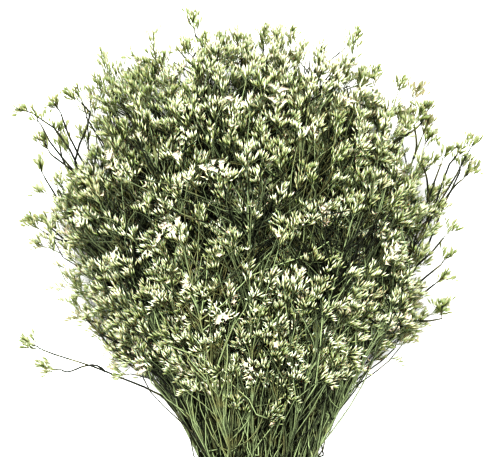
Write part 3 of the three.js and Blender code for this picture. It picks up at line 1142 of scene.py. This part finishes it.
@dataclass
class FloretRows:
    """One-sided double rows of florets along the outer part of a twig.

    A floret leans along the twig, up from it, away from the twine and to its own side. The first leans
    only the first three ways. In a few ripe rows most florets are open.
    """

    form: BunchForm
    random: np.random.Generator
    spacing: float = 1.3
    filled: float = 0.95
    lean: Four = (0.68, 0.48, 0.12, 0.28)
    first_lean: Pair = (0.25, 0.15)
    way_scatter: float = 0.14
    way_flatness: float = 0.55
    pull_flatness: float = 0.6
    length: float = 7.3
    lengths: Pair = (0.86, 1.1)
    youngest: float = 0.78
    young: int = 3
    girths: Pair = (0.9, 1.15)
    loose_girth: float = 1.25
    nudge: float = 1e-6
    clearance: float = 0.5
    ripe_mood: float = 0.62
    open_rows: float = 0.24
    opening: float = 0.8
    stray_opening: float = 0.01
    most_open: int = 5
    open_lean: float = 0.4
    mood_gain: float = 1.15
    ripeness: Pair = (0.1, 0.25)
    unripe_first: float = 0.3
    brown_scatter: float = 0.12
    most_brown: float = 0.85

    def add(
        self, plan: SprayPlan, line: Vector3, upward: Vector3, mood: float, fading: float, florets: int
    ) -> None:
        """Adds a row.

        Args:
            plan: the spray's plan.
            line: the twig's points.
            upward: the side that the florets stand on.
            mood: how ripe they are, from 0 to 1, lowered as painted shade inside the bunch and at its rim.
            fading: how brown they are.
            florets: how many there are at most.
        """
        lengths = np.concatenate([[0], np.cumsum(np.linalg.norm(np.diff(line, axis=0), axis=1))])
        count = int(min(florets, self.filled * lengths[-1] / self.spacing + 1))
        runs = lengths[-1] - np.arange(count) * self.spacing
        feet = np.column_stack([np.interp(runs, lengths, line[:, k]) for k in range(3)])
        tangent = unit(line[-1] - line[0])
        pull = line[-1] - self.form.skeleton.fan.place(0, 0, 0)
        pull = unit(pull * np.array([1, 1, self.pull_flatness]))
        erect = unit(upward + pull - tangent * ((upward + pull) @ tangent) + self.nudge)
        beside = np.cross(tangent, erect)
        ripe = mood > self.ripe_mood and self.random.uniform(0, 1) < self.open_rows
        opening = self.opening if ripe else self.stray_opening
        ahead, up, away, aside = self.lean
        for i, foot in enumerate(feet):
            hand = 1 if i % 2 == 0 else -1
            way = tangent * ahead + erect * up + pull * away + beside * hand * aside
            if i == 0:
                way = tangent + erect * self.first_lean[0] + pull * self.first_lean[1]
            way = way + self.random.normal(0, self.way_scatter, 3)
            way = unit(way * np.array([1, 1, self.way_flatness]))
            length = self.random.uniform(*self.lengths) * mix(self.youngest, 1.0, min(1.0, i / self.young))
            lowest = (self.clearance - foot[2]) / (self.length * length)
            if way[2] < lowest:
                way[2] = lowest
                way = unit(way)
            opened = i < self.most_open and self.random.uniform(0, 1) < opening
            if opened:
                way = unit(way * self.open_lean + self.form.skeleton.outward(foot))
            kind = PlanPoint.OPEN if opened else PlanPoint.BUD
            girth = self.random.uniform(*self.girths) * (self.loose_girth if self.form.loose(foot) else 1.0)
            ripeness = mood * self.mood_gain + self.random.normal(*self.ripeness)
            ripeness = float(np.clip(ripeness - (self.unripe_first if i == 0 else 0), 0, 1))
            brown = float(np.clip(fading + self.random.normal(0, self.brown_scatter), 0, self.most_brown))
            plan.add_floret(kind, foot, way, np.array([girth, girth, length]), ripeness, brown)


@dataclass(frozen=True)
class Tuft:
    """The size of a tuft: its bowed middle twig, its side twigs and the florets on each."""

    length: float
    twigs: int
    reach: float
    florets: int


@dataclass
class Tufts:
    """Tufts: a bowed middle twig with arched side twigs round it, and a row of florets on each.

    The brown patch is x, y, its breadth, and how much browner its tufts are.
    """

    form: BunchForm
    random: np.random.Generator
    rows: FloretRows
    middle_radii: Pair = (0.34, 0.17)
    loose_radii: Pair = (0.52, 0.34)
    side_radii: Pair = (0.24, 0.17)
    tones: Pair = (-0.4, 0.2)
    loose_painted_shade_tone: float = -0.6
    slant: Triple = (0.31, -0.5, 0.81)
    bow: float = 0.08
    middle_points: int = 5
    clearance: float = 0.5
    mood_waves: Four = (37, 1.3, 43, 0.4)
    mood_sway: float = 0.2
    fading: Pair = (-0.27, 0.27)
    most_fading: float = 0.6
    brown_patch: Four = (8, 190, 55, 0.22)
    twig_span: Pair = (0.02, 0.8)
    twig_shift: float = 0.6
    turn_scatter: float = 0.25
    taper: Pair = (1.05, 0.7)
    reaches: Pair = (0.85, 1.1)
    side_steps: int = 3
    side_lean: Pair = (0.4, 0.75)
    side_bend: Pair = (0.15, 0.7)

    def add(
        self, plan: SprayPlan, tuft: Tuft, base: Vector3, way: Vector3, straw: float, room: float = 1.0
    ) -> None:
        """Adds a tuft.

        Args:
            plan: the spray's plan.
            tuft: the tuft's size.
            base: where the tuft starts.
            way: the direction in which it points.
            straw: how far the twigs have dried to straw colour.
            room: how far its side twigs reach, as a share of their full length.
        """
        across = unit(np.cross(way, self.slant))
        over = np.cross(way, across)
        bow = self.random.uniform(-self.bow, self.bow, 2) * tuft.length
        steps = np.linspace(0, 1, self.middle_points)
        middle = base + np.outer(steps * tuft.length, way)
        middle += np.outer(np.sin(steps * math.pi), across * bow[0] + over * bow[1])
        middle[:, 2] = np.maximum(middle[:, 2], self.clearance)
        loose = self.form.loose(base)
        # Painted shade: the twigs of a loose tuft are dark.
        tone = self.loose_painted_shade_tone if loose else self.random.uniform(*self.tones)
        plan.add_line(PlanPoint.TWIG, middle, self.loose_radii if loose else self.middle_radii, straw, tone)
        across_wave, across_shift, along_wave, along_shift = self.mood_waves
        sway = math.sin(base[0] / across_wave + across_shift) * math.sin(base[1] / along_wave + along_shift)
        mood = float(np.clip(self.random.uniform(0, 1) + self.mood_sway * sway, 0, 1))
        # Painted shade: tufts inside the bunch and at its rim get greener, darker florets, and fewer open ones.
        mood *= self.form.painted_light_share(base)
        x, y, breadth, browner = self.brown_patch
        browner *= nearness(base, x, y, breadth)
        fading = self.random.normal(self.fading[0] + browner, self.fading[1])
        fading = float(np.clip(fading, 0, self.most_fading))
        start_angle = self.random.uniform(0, 2 * math.pi)
        self.rows.add(plan, middle[-3:], across, mood, fading, tuft.florets)
        for i in range(tuft.twigs):
            share = mix(*self.twig_span, (i + self.random.uniform(0, self.twig_shift)) / tuft.twigs)
            foot = np.array([np.interp(share, steps, middle[:, k]) for k in range(3)])
            angle = start_angle + i * GOLDEN_ANGLE + self.random.normal(0, self.turn_scatter)
            out = across * math.cos(angle) + over * math.sin(angle)
            reach = tuft.reach * room * mix(*self.taper, share) * self.random.uniform(*self.reaches)
            line = self._side_twig(foot, way, out, reach)
            plan.add_line(PlanPoint.TWIG, line, self.side_radii, straw, tone)
            self.rows.add(plan, line, way, mood, fading, tuft.florets)

    def _side_twig(self, foot: Vector3, way: Vector3, out: Vector3, reach: float) -> Vector3:
        """Draws a side twig that arches outward.

        Args:
            foot: where it leaves the tuft's middle twig.
            way: the direction of the tuft.
            out: the direction away from the tuft's axis.
            reach: its length.

        Returns:
            Its points, one a row.
        """
        lean = self.random.uniform(*self.side_lean)
        bend = self.random.uniform(*self.side_bend)
        points = [foot]
        for i in range(self.side_steps):
            turn = lean + bend * i / self.side_steps
            step = (way * math.cos(turn) + out * math.sin(turn)) * (reach / self.side_steps)
            points.append(points[-1] + step)
        line = np.array(points)
        line[:, 2] = np.maximum(line[:, 2], self.clearance)
        return line


@dataclass
class Branches:
    """The branches to the heads, and long thin shoots that end in small tufts.

    A branch is slightly crooked, painted dark as shade at the rim of the bunch, and stouter and more crooked on
    a loose tip.
    """

    form: BunchForm
    random: np.random.Generator
    tufts: Tufts
    radii: Pair = (0.46, 0.34)
    shoot_radii: Pair = (0.44, 0.33)
    loose_radii: Pair = (0.68, 0.52)
    crook: float = 0.9
    loose_crook: float = 1.8
    crook_bow: float = 0.6
    clearance: float = 1
    rim_margin: float = 15.0
    flank_margin: float = 4.0
    rim_painted_shade_tone: float = -0.6
    tones: Pair = (-0.5, 0.3)
    small_tuft: Tuft = Tuft(length=9, twigs=3, reach=9.5, florets=7)
    shoot_forward: float = 0.65
    shoot_outward: float = 0.45
    shoot_scatter: float = 0.7
    shoot_reach: Pair = (35, 95)
    reach_slack: float = 8
    least_along: float = 0.1
    bend_cost: int = 4

    def add(self, plan: SprayPlan, line: Vector3, radii: Pair, straw: float) -> None:
        """Adds a branch or shoot.

        Args:
            plan: the spray's plan.
            line: its points, one a row.
            radii: its radius at the foot and at the top.
            straw: how far it has dried to straw colour.
        """
        loose = self.form.loose(line[-1])
        crook = self.random.normal(0, 1, 3) * (self.loose_crook if loose else self.crook)
        share = np.linspace(0, 1, len(line))
        waves = np.sin(share * 2 * math.pi) + self.crook_bow * np.sin(share * math.pi)
        line = line + np.outer(waves, crook)
        line[:, 2] = np.maximum(line[:, 2], self.clearance)
        bare = self.form.least_margin(line) < self.flank_margin
        at_rim = bare or self.form.margin(line[-1]) < self.rim_margin
        # Painted shade: a branch at the rim or past the outline is dark.
        tone = self.rim_painted_shade_tone if at_rim else self.random.uniform(*self.tones)
        plan.add_line(PlanPoint.BRANCH, line, self.loose_radii if loose or bare else radii, straw, tone)

    def shoot(self, plan: SprayPlan, joints: list[Joint], at: Vector3, straw: float) -> None:
        """Adds a long thin shoot that ends in a small tuft.

        Args:
            plan: the spray's plan.
            joints: where it may leave the spray.
            at: the middle of its tuft.
            straw: how far it has dried to straw colour.
        """
        skeleton = self.form.skeleton
        way = skeleton.forward(at) * self.shoot_forward + skeleton.outward(at) * self.shoot_outward
        way = unit(way + self.random.uniform(-self.shoot_scatter, self.shoot_scatter, 3))
        base = at - way * (self.small_tuft.length / 2)
        wanted = self.random.uniform(*self.shoot_reach)
        spans = base - np.array([joint.at for joint in joints])
        reach = np.linalg.norm(spans, axis=1)
        along = np.einsum("ij,ij->i", spans, np.array([joint.forward for joint in joints])) / reach
        bend = np.maximum(self.least_along, along) ** self.bend_cost
        joint = joints[int(np.argmin((np.abs(reach - wanted) + self.reach_slack) / bend))]
        line = curve_through([joint.at, base], joint.forward, way)
        self.add(plan, line, self.shoot_radii, straw)
        self.tufts.add(plan, self.small_tuft, line[-1], way, straw)


@dataclass
class BareTwigs:
    """Thin crooked twigs that have lost their florets, inside the bunch; some low ones are pale, and as painted
    shade the others stay dark in hollows and near the outline.
    """

    form: BunchForm
    random: np.random.Generator
    count: int = 4300
    first_y: float = 16
    high_share: float = 0.38
    high_y: float = 180
    high_spray_y: float = 240
    foot_below_top: float = 30
    top_below_top: float = 6
    least_rise: float = 12
    reach: Pair = (22, 85)
    drift: Pair = (0.05, 0.6)
    edge_ys: Pair = (90, 220)
    edges: Pair = (0.71, 0.86)
    edge_scatter: Pair = (0.82, 1.08)
    lean_power: float = 0.85
    points: int = 5
    bow: float = 4.5
    crook: float = 1.05
    clearance: float = 1
    deepest_dent: float = -5
    radii: Pair = (0.58, 0.42)
    tones: Pair = (-0.7, 0.0)
    pale_share: float = 0.6
    pale_below_y: float = 230
    pale_margin: float = 2.0
    pale_girth: float = 1.15
    pale_tones: Pair = (0.15, 0.55)

    def add(self, plan: SprayPlan, spray: Spray, straw: float) -> None:
        """Adds a bare twig, if there is room for it.

        Args:
            plan: the spray's plan.
            spray: the spray that carries it.
            straw: how far it has dried to straw colour.
        """
        fan = self.form.skeleton.fan
        high = self.random.uniform(0, 1) < self.high_share and spray.top_y > self.high_spray_y
        lowest = self.high_y if high else self.first_y
        foot_y = self.random.uniform(lowest, spray.top_y - self.foot_below_top)
        top_y = min(foot_y + self.random.uniform(*self.reach), spray.top_y - self.top_below_top)
        turn = self.random.uniform(0, 2 * math.pi)
        drift = self.random.uniform(*self.drift)
        a = spray.a + drift * math.cos(turn)
        b = spray.b + drift * math.sin(turn)
        edge = float(np.interp(top_y, self.edge_ys, self.edges)) * self.random.uniform(*self.edge_scatter)
        rim = max(1.0, math.hypot(a, b) / edge)
        top_y = min(top_y, self.form.skeleton.dome_y(math.hypot(a, b) / rim) - self.top_below_top)
        if top_y < foot_y + self.least_rise:
            return
        points = []
        for share in np.linspace(0, 1, self.points):
            lean = share**self.lean_power
            y = mix(foot_y, top_y, share)
            points.append(fan.place(mix(spray.a, a / rim, lean), mix(spray.b, b / rim, lean), y))
        line = np.array(points)
        bow = self.random.normal(0, self.bow, 3)
        line += np.outer(np.sin(np.linspace(0, math.pi, len(line))), bow)
        line[1:-1] += self.random.normal(0, self.crook, (len(line) - 2, 3))
        line[:, 2] = np.maximum(line[:, 2], self.clearance)
        if self.form.push(line[-1]) < self.deepest_dent:
            return
        pale = top_y < self.pale_below_y
        # Painted shade: pale twigs grow rarer in hollows, and none come near or past the outline.
        pale = pale and self.random.uniform(0, 1) < self.pale_share * self.form.fullness(line[-1])
        pale = pale and self.form.least_margin(line) > self.pale_margin
        tone = self.random.uniform(*(self.pale_tones if pale else self.tones))
        girth = self.pale_girth if pale else 1.0
        root, top = self.radii
        plan.add_line(PlanPoint.TWIG, line, (root * girth, top * girth), straw, tone)


@dataclass
class FineSprays:
    """The thirty sprays, each a stem with its branches, shoots, tufts and bare twigs."""

    form: BunchForm
    offset: Vector3
    stem_radii: Pair = (0.8, 0.5)
    stem_points: int = 30
    straight_end_y: float = -60
    cut_end: float = 2
    straws: Pair = (-0.1, 0.25)
    stem_tones: Pair = (-0.1, 0.5)
    head_tuft: Tuft = Tuft(length=18, twigs=7, reach=11.5, florets=8)
    low_tuft: Tuft = Tuft(length=18, twigs=5, reach=11.5, florets=7)
    loose_tuft: Tuft = Tuft(length=12, twigs=5, reach=9, florets=7)
    low_height: float = 45
    usual_width: float = 8
    widths: Pair = (0.75, 1.1)
    rooms: Pair = (0.8, 1.08)
    least_room: float = 0.5
    twig_shares: Pair = (0.35, 1.2)
    short_push: float = 30
    shortest: float = 0.6
    small_tufts: int = 1600
    loose_tufts: tuple[Pair, ...] = (
        *((-146, 306), (-139, 300), (-127, 308), (-127, 292), (-116, 314), (-137, 268), (-136, 254)),
        *((-125, 259), (-124, 242), (-132, 229), (-120, 224), (138, 284), (130, 280), (121, 277)),
        *((132, 271), (107, 306), (124, 229), (122, 211), (119, 198), (121, 180)),
    )
    loose_height: float = 0.1
    loose_scatter: float = 6
    seat_tries: int = 30000
    seat_power: float = 0.65
    seat_spread: Pair = (0.98, 1.1)
    seat_spacing: float = 5.2
    seat_depth: float = 1.6
    lowest_seat: float = 3
    hollow_share: float = 0.25
    underside_share: float = 0.45
    first_shoot_y: float = 16
    last_shoot: float = 20
    shoot_step: float = 6
    seed: int = 11
    random: np.random.Generator = field(init=False)
    tufts: Tufts = field(init=False)
    branches: Branches = field(init=False)
    bare_twigs: BareTwigs = field(init=False)

    def __post_init__(self) -> None:
        """Starts the chance that all the fine parts share."""
        self.random = np.random.default_rng(self.seed)
        self.tufts = Tufts(self.form, self.random, FloretRows(self.form, self.random))
        self.branches = Branches(self.form, self.random, self.tufts)
        self.bare_twigs = BareTwigs(self.form, self.random)

    def build(self, tree: SprayTree) -> None:
        """Builds every spray.

        Args:
            tree: the geometry nodes that dress a plan.
        """
        nodes = tree.build()
        seats = self._seats()
        total = 0
        for i, spray in enumerate(self.form.skeleton.sprays):
            node = f"spray_{i + 1:02d}"
            plan = self._plan(spray, node, [at for owner, at in seats if owner is spray])
            piece = grow_piece(plan.mesh(f"{node}_plan", self.offset), nodes, tree.values(), f"{node}_fine")
            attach(piece, "root")
            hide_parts(node)
            faces = sum(len(p.vertices) - 2 for p in piece.data.polygons)
            total += faces
            florets = sum(kind >= PlanPoint.BUD for kind in plan.kind)
            LOG.info("%s: %d triangles, %d florets", piece.name, faces, florets)
        LOG.info("sprays: %d triangles, %d small tufts", total, len(seats))

    def _seats(self) -> list[tuple[Spray, Vector3]]:
        """Finds places for the small tufts: the loose ones, then others between and below the heads.

        Returns:
            The spray and the point of each.
        """
        skeleton = self.form.skeleton
        taken = np.array([(head.base + head.end) / 2 for head in skeleton.heads])
        seats = []
        for x, y in self.loose_tufts:
            lift = self.random.uniform(-self.loose_scatter, self.loose_scatter)
            at = np.array([x, y, skeleton.fan.place(0, self.loose_height, y)[2] + lift])
            seats.append((skeleton.nearest(x / skeleton.fan.place(1, 0, y)[0], self.loose_height), at))
        for _ in range(self.seat_tries):
            angle = self.random.uniform(0, 2 * math.pi)
            pick, depth, luck = self.random.uniform(0, 1, 3)
            spread = self.random.uniform(*self.seat_spread)
            spray, b, at = skeleton.seat(angle, pick**self.seat_power, depth * self.seat_depth, spread)
            chance = mix(self.hollow_share, 1, self.form.fullness(at))
            if luck > (self.underside_share if b < 0 else 1) * chance:
                continue
            at = self.form.bulge(at)
            if np.linalg.norm(taken - at, axis=1).min() < self.seat_spacing or at[2] < self.lowest_seat:
                continue
            taken = np.vstack([taken, at])
            seats.append((spray, at))
            if len(seats) == self.small_tufts:
                break
        return seats

    def _plan(self, spray: Spray, node: str, seats: list[Vector3]) -> SprayPlan:
        """Plans one spray.

        Args:
            spray: the spray in the skeleton.
            node: the CAD node that it replaces.
            seats: where its small tufts are.

        Returns:
            The plan. Its first point has dried to straw, because it is the cut end.
        """
        plan = SprayPlan()
        skeleton = self.form.skeleton
        low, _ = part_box(node)
        cut_y = (low.y - self.offset[1]) / MILLIMETRE
        straw = self.random.uniform(*self.straws)
        top_y = spray.top_y - skeleton.head_length / 2
        along = np.linspace(self.straight_end_y, top_y, self.stem_points)
        ys = np.concatenate([[cut_y, cut_y + self.cut_end], along])
        stem = np.array([skeleton.fan.place(spray.a, spray.b, y) for y in ys])
        plan.add_line(PlanPoint.STEM, stem, self.stem_radii, straw, self.random.uniform(*self.stem_tones))
        plan.ripeness[0] = 1.0
        for head in skeleton.heads:
            if head.spray is not spray:
                continue
            if head.path:
                branch = curve_through(head.path, head.leaves, head.way)
                self.branches.add(plan, branch, self.branches.radii, straw)
            if self.form.loose((head.base + head.end) / 2):
                self.tufts.add(plan, self.loose_tuft, head.base, head.way, straw)
            else:
                tuft, room = self._head_size(head)
                self.tufts.add(plan, tuft, head.base, head.way, straw, room)
        ys = np.arange(self.first_shoot_y, top_y - self.last_shoot, self.shoot_step)
        joints = [*spray.joints, *(skeleton.fan.joint(spray.a, spray.b, y) for y in ys)]
        for at in seats:
            self.branches.shoot(plan, joints, at, straw)
        for _ in range(round(self.bare_twigs.count / len(skeleton.sprays))):
            self.bare_twigs.add(plan, spray, straw)
        return plan

    def _head_size(self, head: Head) -> tuple[Tuft, float]:
        """Fits a tuft to a head: fuller in a clump, longer in reach on a bulge, lighter when low.

        Args:
            head: the head of the skeleton.

        Returns:
            The tuft's size, and how far its side twigs reach as a share of their full length.
        """
        fullness = self.form.fullness(head.end)
        room = float(np.clip(head.width / self.usual_width, *self.widths)) * mix(*self.rooms, fullness)
        push = self.form.push(head.end)
        room = max(self.least_room, room + push / self.head_tuft.reach)
        tuft = self.low_tuft if head.base[2] < self.low_height else self.head_tuft
        length = tuft.length * float(np.clip(1 + push / self.short_push, self.shortest, 1))
        twigs = round(tuft.twigs * mix(*self.twig_shares, fullness))
        return replace(tuft, twigs=twigs, length=length), room


@dataclass
class TwineTie:
    """The jute twine: turns side by side round the stems, a reef knot on top and two cut tails."""

    fan: Fan
    offset: Vector3
    turns: int = 3
    radius: float = 1.15
    squeeze: float = 0.94
    stem_radius: float = 1.25
    clearance: float = 0.3
    loop_steps: int = 40
    loop_gap: int = 3
    knot_steps: int = 12
    knot_half_width: float = 3.4
    knot_depth: float = 1.05
    knot_rise: float = 0.9
    tail_height: float = 2.2
    tail: tuple[Triple, ...] = ((-6.5, -1.2, 0.0), (-10.5, -3.0, -0.6), (-15.0, -5.6, -2.2))
    plies: int = 3
    ply_pitch: float = 7.0
    ply_valley: float = 0.58
    step: float = 0.7
    sides: int = 18

    def build(self, material: Material) -> None:
        """Builds the twine.

        Args:
            material: the jute.
        """
        path = self._path()
        rough = bpy.data.meshes.new("twine_path")
        edges = [(i, i + 1) for i in range(len(path) - 1)]
        rough.from_pydata((path * MILLIMETRE + self.offset).tolist(), edges, [])
        values = {"Twine radius": self.radius * MILLIMETRE, "Ply pitch": self.ply_pitch * MILLIMETRE}
        piece = grow_piece(rough, self._tree(material), values, "twine_fine")
        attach(piece, "root")
        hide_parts("twine_tie")
        LOG.info("%s: %d faces", piece.name, len(piece.data.polygons))

    def _path(self) -> Vector3:
        """Draws the twine from one cut end to the other.

        Returns:
            Its points in millimetres, one a row.
        """
        ring_x = self.fan.bundle_x + self.stem_radius + self.clearance + self.radius
        ring_z = self.fan.bundle_z + self.stem_radius + self.clearance + self.radius
        pitch = 2 * self.radius * self.squeeze
        points = []
        for i in range(self.turns * self.loop_steps + 1):
            share = i / self.loop_steps
            angle = math.pi / 2 + 2 * math.pi * share
            y = (share - self.turns / 2) * pitch
            points.append((ring_x * math.cos(angle), y, self.fan.bundle_height + ring_z * math.sin(angle)))
        ring = np.array(points[self.loop_gap : -self.loop_gap])
        top = self.fan.bundle_height + ring_z + self.radius
        return np.vstack([self._knot_end(top, 1)[::-1], ring, self._knot_end(top, -1)])

    def _knot_end(self, top: float, side: int) -> Vector3:
        """Draws one end of the twine through both halves of the reef knot and out to its tail.

        Args:
            top: the height of the wound turns.
            side: 1 for the end that goes to the right first, -1 for the other.

        Returns:
            The end's points in millimetres, from the wound turns to the cut.
        """
        points = []
        for level, way in ((0, 1), (1, -1)):
            for share in np.linspace(0, 1, self.knot_steps):
                angle = math.pi / 2 + way * 2 * math.pi * share
                x = way * mix(-self.knot_half_width, self.knot_half_width, share)
                y = self.radius * self.knot_depth * math.cos(angle)
                rise = self.radius * self.knot_rise * math.sin(angle) * side
                points.append((x, y, top + self.radius * (1.0 + 2.0 * level) + rise))
        tail_z = top + self.radius * self.tail_height
        points.extend((x, y, tail_z + z) for x, y, z in self.tail)
        end = np.array(points)
        end[:, :2] *= side
        return end

    def _tree(self, material: Material) -> NodeTree:
        """Builds the nodes that lay the plies round the path.

        Args:
            material: the jute.

        Returns:
            The tree, with the twine's radius and the length of one twist as inputs.
        """
        inputs = {"Path": "Geometry", "Twine radius": "Float", "Ply pitch": "Float"}
        tree, given = start_tree("jute_plies", inputs, "Twine")
        path = add_node(tree, "GeometryNodeMeshToCurve", {"Mesh": given["Path"]})
        steps = {"Curve": path, "Length": self.step * MILLIMETRE}
        even = add_node(tree, "GeometryNodeResampleCurve", steps, mode="LENGTH")
        run = add_node(tree, "GeometryNodeSplineParameter", output="Length")
        ring = add_node(tree, "GeometryNodeCurvePrimitiveCircle", {"Resolution": self.sides, "Radius": 1.0})
        factor = add_node(tree, "GeometryNodeSplineParameter", output="Factor")
        marks = (
            {"Geometry": even, "Name": "run", "Value": run},
            {"Geometry": ring, "Name": "around", "Value": factor},
        )
        kept, marked = (
            add_node(tree, "GeometryNodeStoreNamedAttribute", mark, domain="POINT") for mark in marks
        )
        share = add_node(tree, "ShaderNodeMath", {0: run, 1: given["Ply pitch"]}, operation="DIVIDE")
        turn = add_node(tree, "ShaderNodeMath", {0: share, 1: 2 * math.pi}, operation="MULTIPLY")
        twisted = add_node(tree, "GeometryNodeSetCurveTilt", {"Curve": kept, "Tilt": turn})
        angle = add_node(tree, "ShaderNodeMath", {0: factor, 1: self.plies * math.pi}, operation="MULTIPLY")
        wave = add_node(tree, "ShaderNodeMath", {0: angle}, operation="SINE")
        bulge = add_node(tree, "ShaderNodeMath", {0: wave}, operation="ABSOLUTE")
        swell = {0: bulge, 1: 1 - self.ply_valley, 2: self.ply_valley}
        radius = add_node(tree, "ShaderNodeMath", swell, operation="MULTIPLY_ADD")
        place = add_node(tree, "GeometryNodeInputPosition")
        push = {"Vector": place, "Scale": radius}
        pushed = add_node(tree, "ShaderNodeVectorMath", push, operation="SCALE")
        lobed = add_node(tree, "GeometryNodeSetPosition", {"Geometry": marked, "Position": pushed})
        scale = given["Twine radius"]
        sweep = {"Curve": twisted, "Profile Curve": lobed, "Scale": scale, "Fill Caps": True}
        rope = add_node(tree, "GeometryNodeCurveToMesh", sweep)
        smooth = add_node(tree, "GeometryNodeSetShadeSmooth", {"Geometry": rope})
        plain = add_node(tree, "GeometryNodeRealizeInstances", {"Geometry": smooth})
        dressed = add_node(tree, "GeometryNodeSetMaterial", {"Geometry": plain, "Material": material})
        add_node(tree, "NodeGroupOutput", {0: dressed})
        return tree


@dataclass(frozen=True)
class Softbox:
    """A square softbox: its side and place in metres, its power, its turn from straight down."""

    name: str
    side: float
    watts: float
    place: Triple
    turn: Triple

    def hang(self) -> None:
        """Hangs the softbox in the scene."""
        lamp = bpy.data.lights.new(self.name, "AREA")
        lamp.shape = "SQUARE"
        lamp.size = self.side
        lamp.energy = self.watts
        box = bpy.data.objects.new(self.name, lamp)
        box.location = self.place
        box.rotation_euler = self.turn
        bpy.context.scene.collection.objects.link(box)


@dataclass
class Studio:
    """A pale floor, a broad light above, a small one to the side, and the camera that looks down."""

    floor_size: float = 6.0
    floor_colour: str = "#FBFBFA"
    floor_roughness: float = 0.9
    softboxes: tuple[Softbox, ...] = (
        Softbox("overhead_softbox", 0.9, 56, (-0.03, 0.22, 1.5), (-0.1, -0.02, 0)),
        Softbox("upper_left_softbox", 0.3, 6, (-0.25, 0.8, 1.4), (-0.45, -0.18, 0)),
    )
    room_light: float = 0.03
    view_width: float = 0.31936
    view_centre: Pair = (0.00098, 0.0789)
    view_height: float = 0.07
    distance: float = 1.6
    sensor: float = 36.0
    look: str = "Very High Contrast"

    def build(self) -> None:
        """Builds the floor, the lights and the camera."""
        self._floor()
        self._lights()
        self._camera()

    def _floor(self) -> None:
        """Lays the floor: white board with a matt coat, which stays as bright as the backdrop."""
        half = self.floor_size / 2
        mesh = bpy.data.meshes.new("pale_floor")
        corners = [(-half, -half, 0), (half, -half, 0), (half, half, 0), (-half, half, 0)]
        mesh.from_pydata(corners, [], [(0, 1, 2, 3)])
        material = bpy.data.materials.new("matt_white_board")
        material.use_nodes = True
        shader = material.node_tree.nodes["Principled BSDF"]
        shader.inputs["Base Color"].default_value = linear(self.floor_colour)
        shader.inputs["Roughness"].default_value = self.floor_roughness
        mesh.materials.append(material)
        floor = bpy.data.objects.new("pale_floor", mesh)
        bpy.context.scene.collection.objects.link(floor)

    def _lights(self) -> None:
        """Hangs the softboxes and fills the room with a little white light."""
        world = bpy.data.worlds.new("studio")
        world.use_nodes = True
        background = world.node_tree.nodes["Background"]
        background.inputs["Color"].default_value = (1, 1, 1, 1)
        background.inputs["Strength"].default_value = self.room_light
        bpy.context.scene.world = world
        for softbox in self.softboxes:
            softbox.hang()

    def _camera(self) -> None:
        """Sets the camera straight above the part of the bunch that the photograph shows."""
        data = bpy.data.cameras.new("camera")
        data.sensor_width = self.sensor
        data.lens = self.sensor * self.distance / self.view_width
        camera = bpy.data.objects.new("camera", data)
        camera.location = (*self.view_centre, self.view_height + self.distance)
        bpy.context.scene.collection.objects.link(camera)
        bpy.context.scene.camera = camera
        bpy.context.scene.view_settings.view_transform = "Standard"
        bpy.context.scene.view_settings.look = self.look


def main() -> None:
    """Builds the bunch and the studio round it."""
    logging.basicConfig(level=logging.INFO, format="%(name)s %(message)s")
    low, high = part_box("twine_tie")
    offset = np.array([(low.x + high.x) / 2, (low.y + high.y) / 2, 0.0])
    skeleton = Skeleton()
    skeleton.grow()
    LOG.info("skeleton: %d sprays, %d heads", len(skeleton.sprays), len(skeleton.heads))
    stem = DriedStem().material()
    calyx = DriedFloret(
        name="bleached_papery_calyx",
        # Painted shade: the green run is darkened, since the florets inside the bunch and at its rim take it.
        green=("#252E0F", "#5A6731", "#888E6E"),
        pale=("#4C5826", "#959B70", "#CDCEC2"),
        faded="#8F876C",
    ).material()
    petal = DriedFloret(
        name="dry_white_petal",
        green=("#5F6E3C", "#93957A", "#A5A48E"),
        pale=("#72804E", "#A3A38B", "#B4B2A1"),
        faded="#D8C2A8",
    ).material()
    woody = {kind: stem for kind in (PlanPoint.STEM, PlanPoint.BRANCH, PlanPoint.TWIG)}
    patterns = FloretPatterns()
    florets = {PlanPoint.BUD: patterns.bud(), PlanPoint.OPEN: patterns.open()}
    tree = SprayTree(florets, {**woody, PlanPoint.BUD: calyx, PlanPoint.OPEN: petal})
    FineSprays(BunchForm(skeleton), offset).build(tree)
    TwineTie(skeleton.fan, offset).build(SpunJute().material())
    Studio().build()


if __name__ == "__main__":
    main()
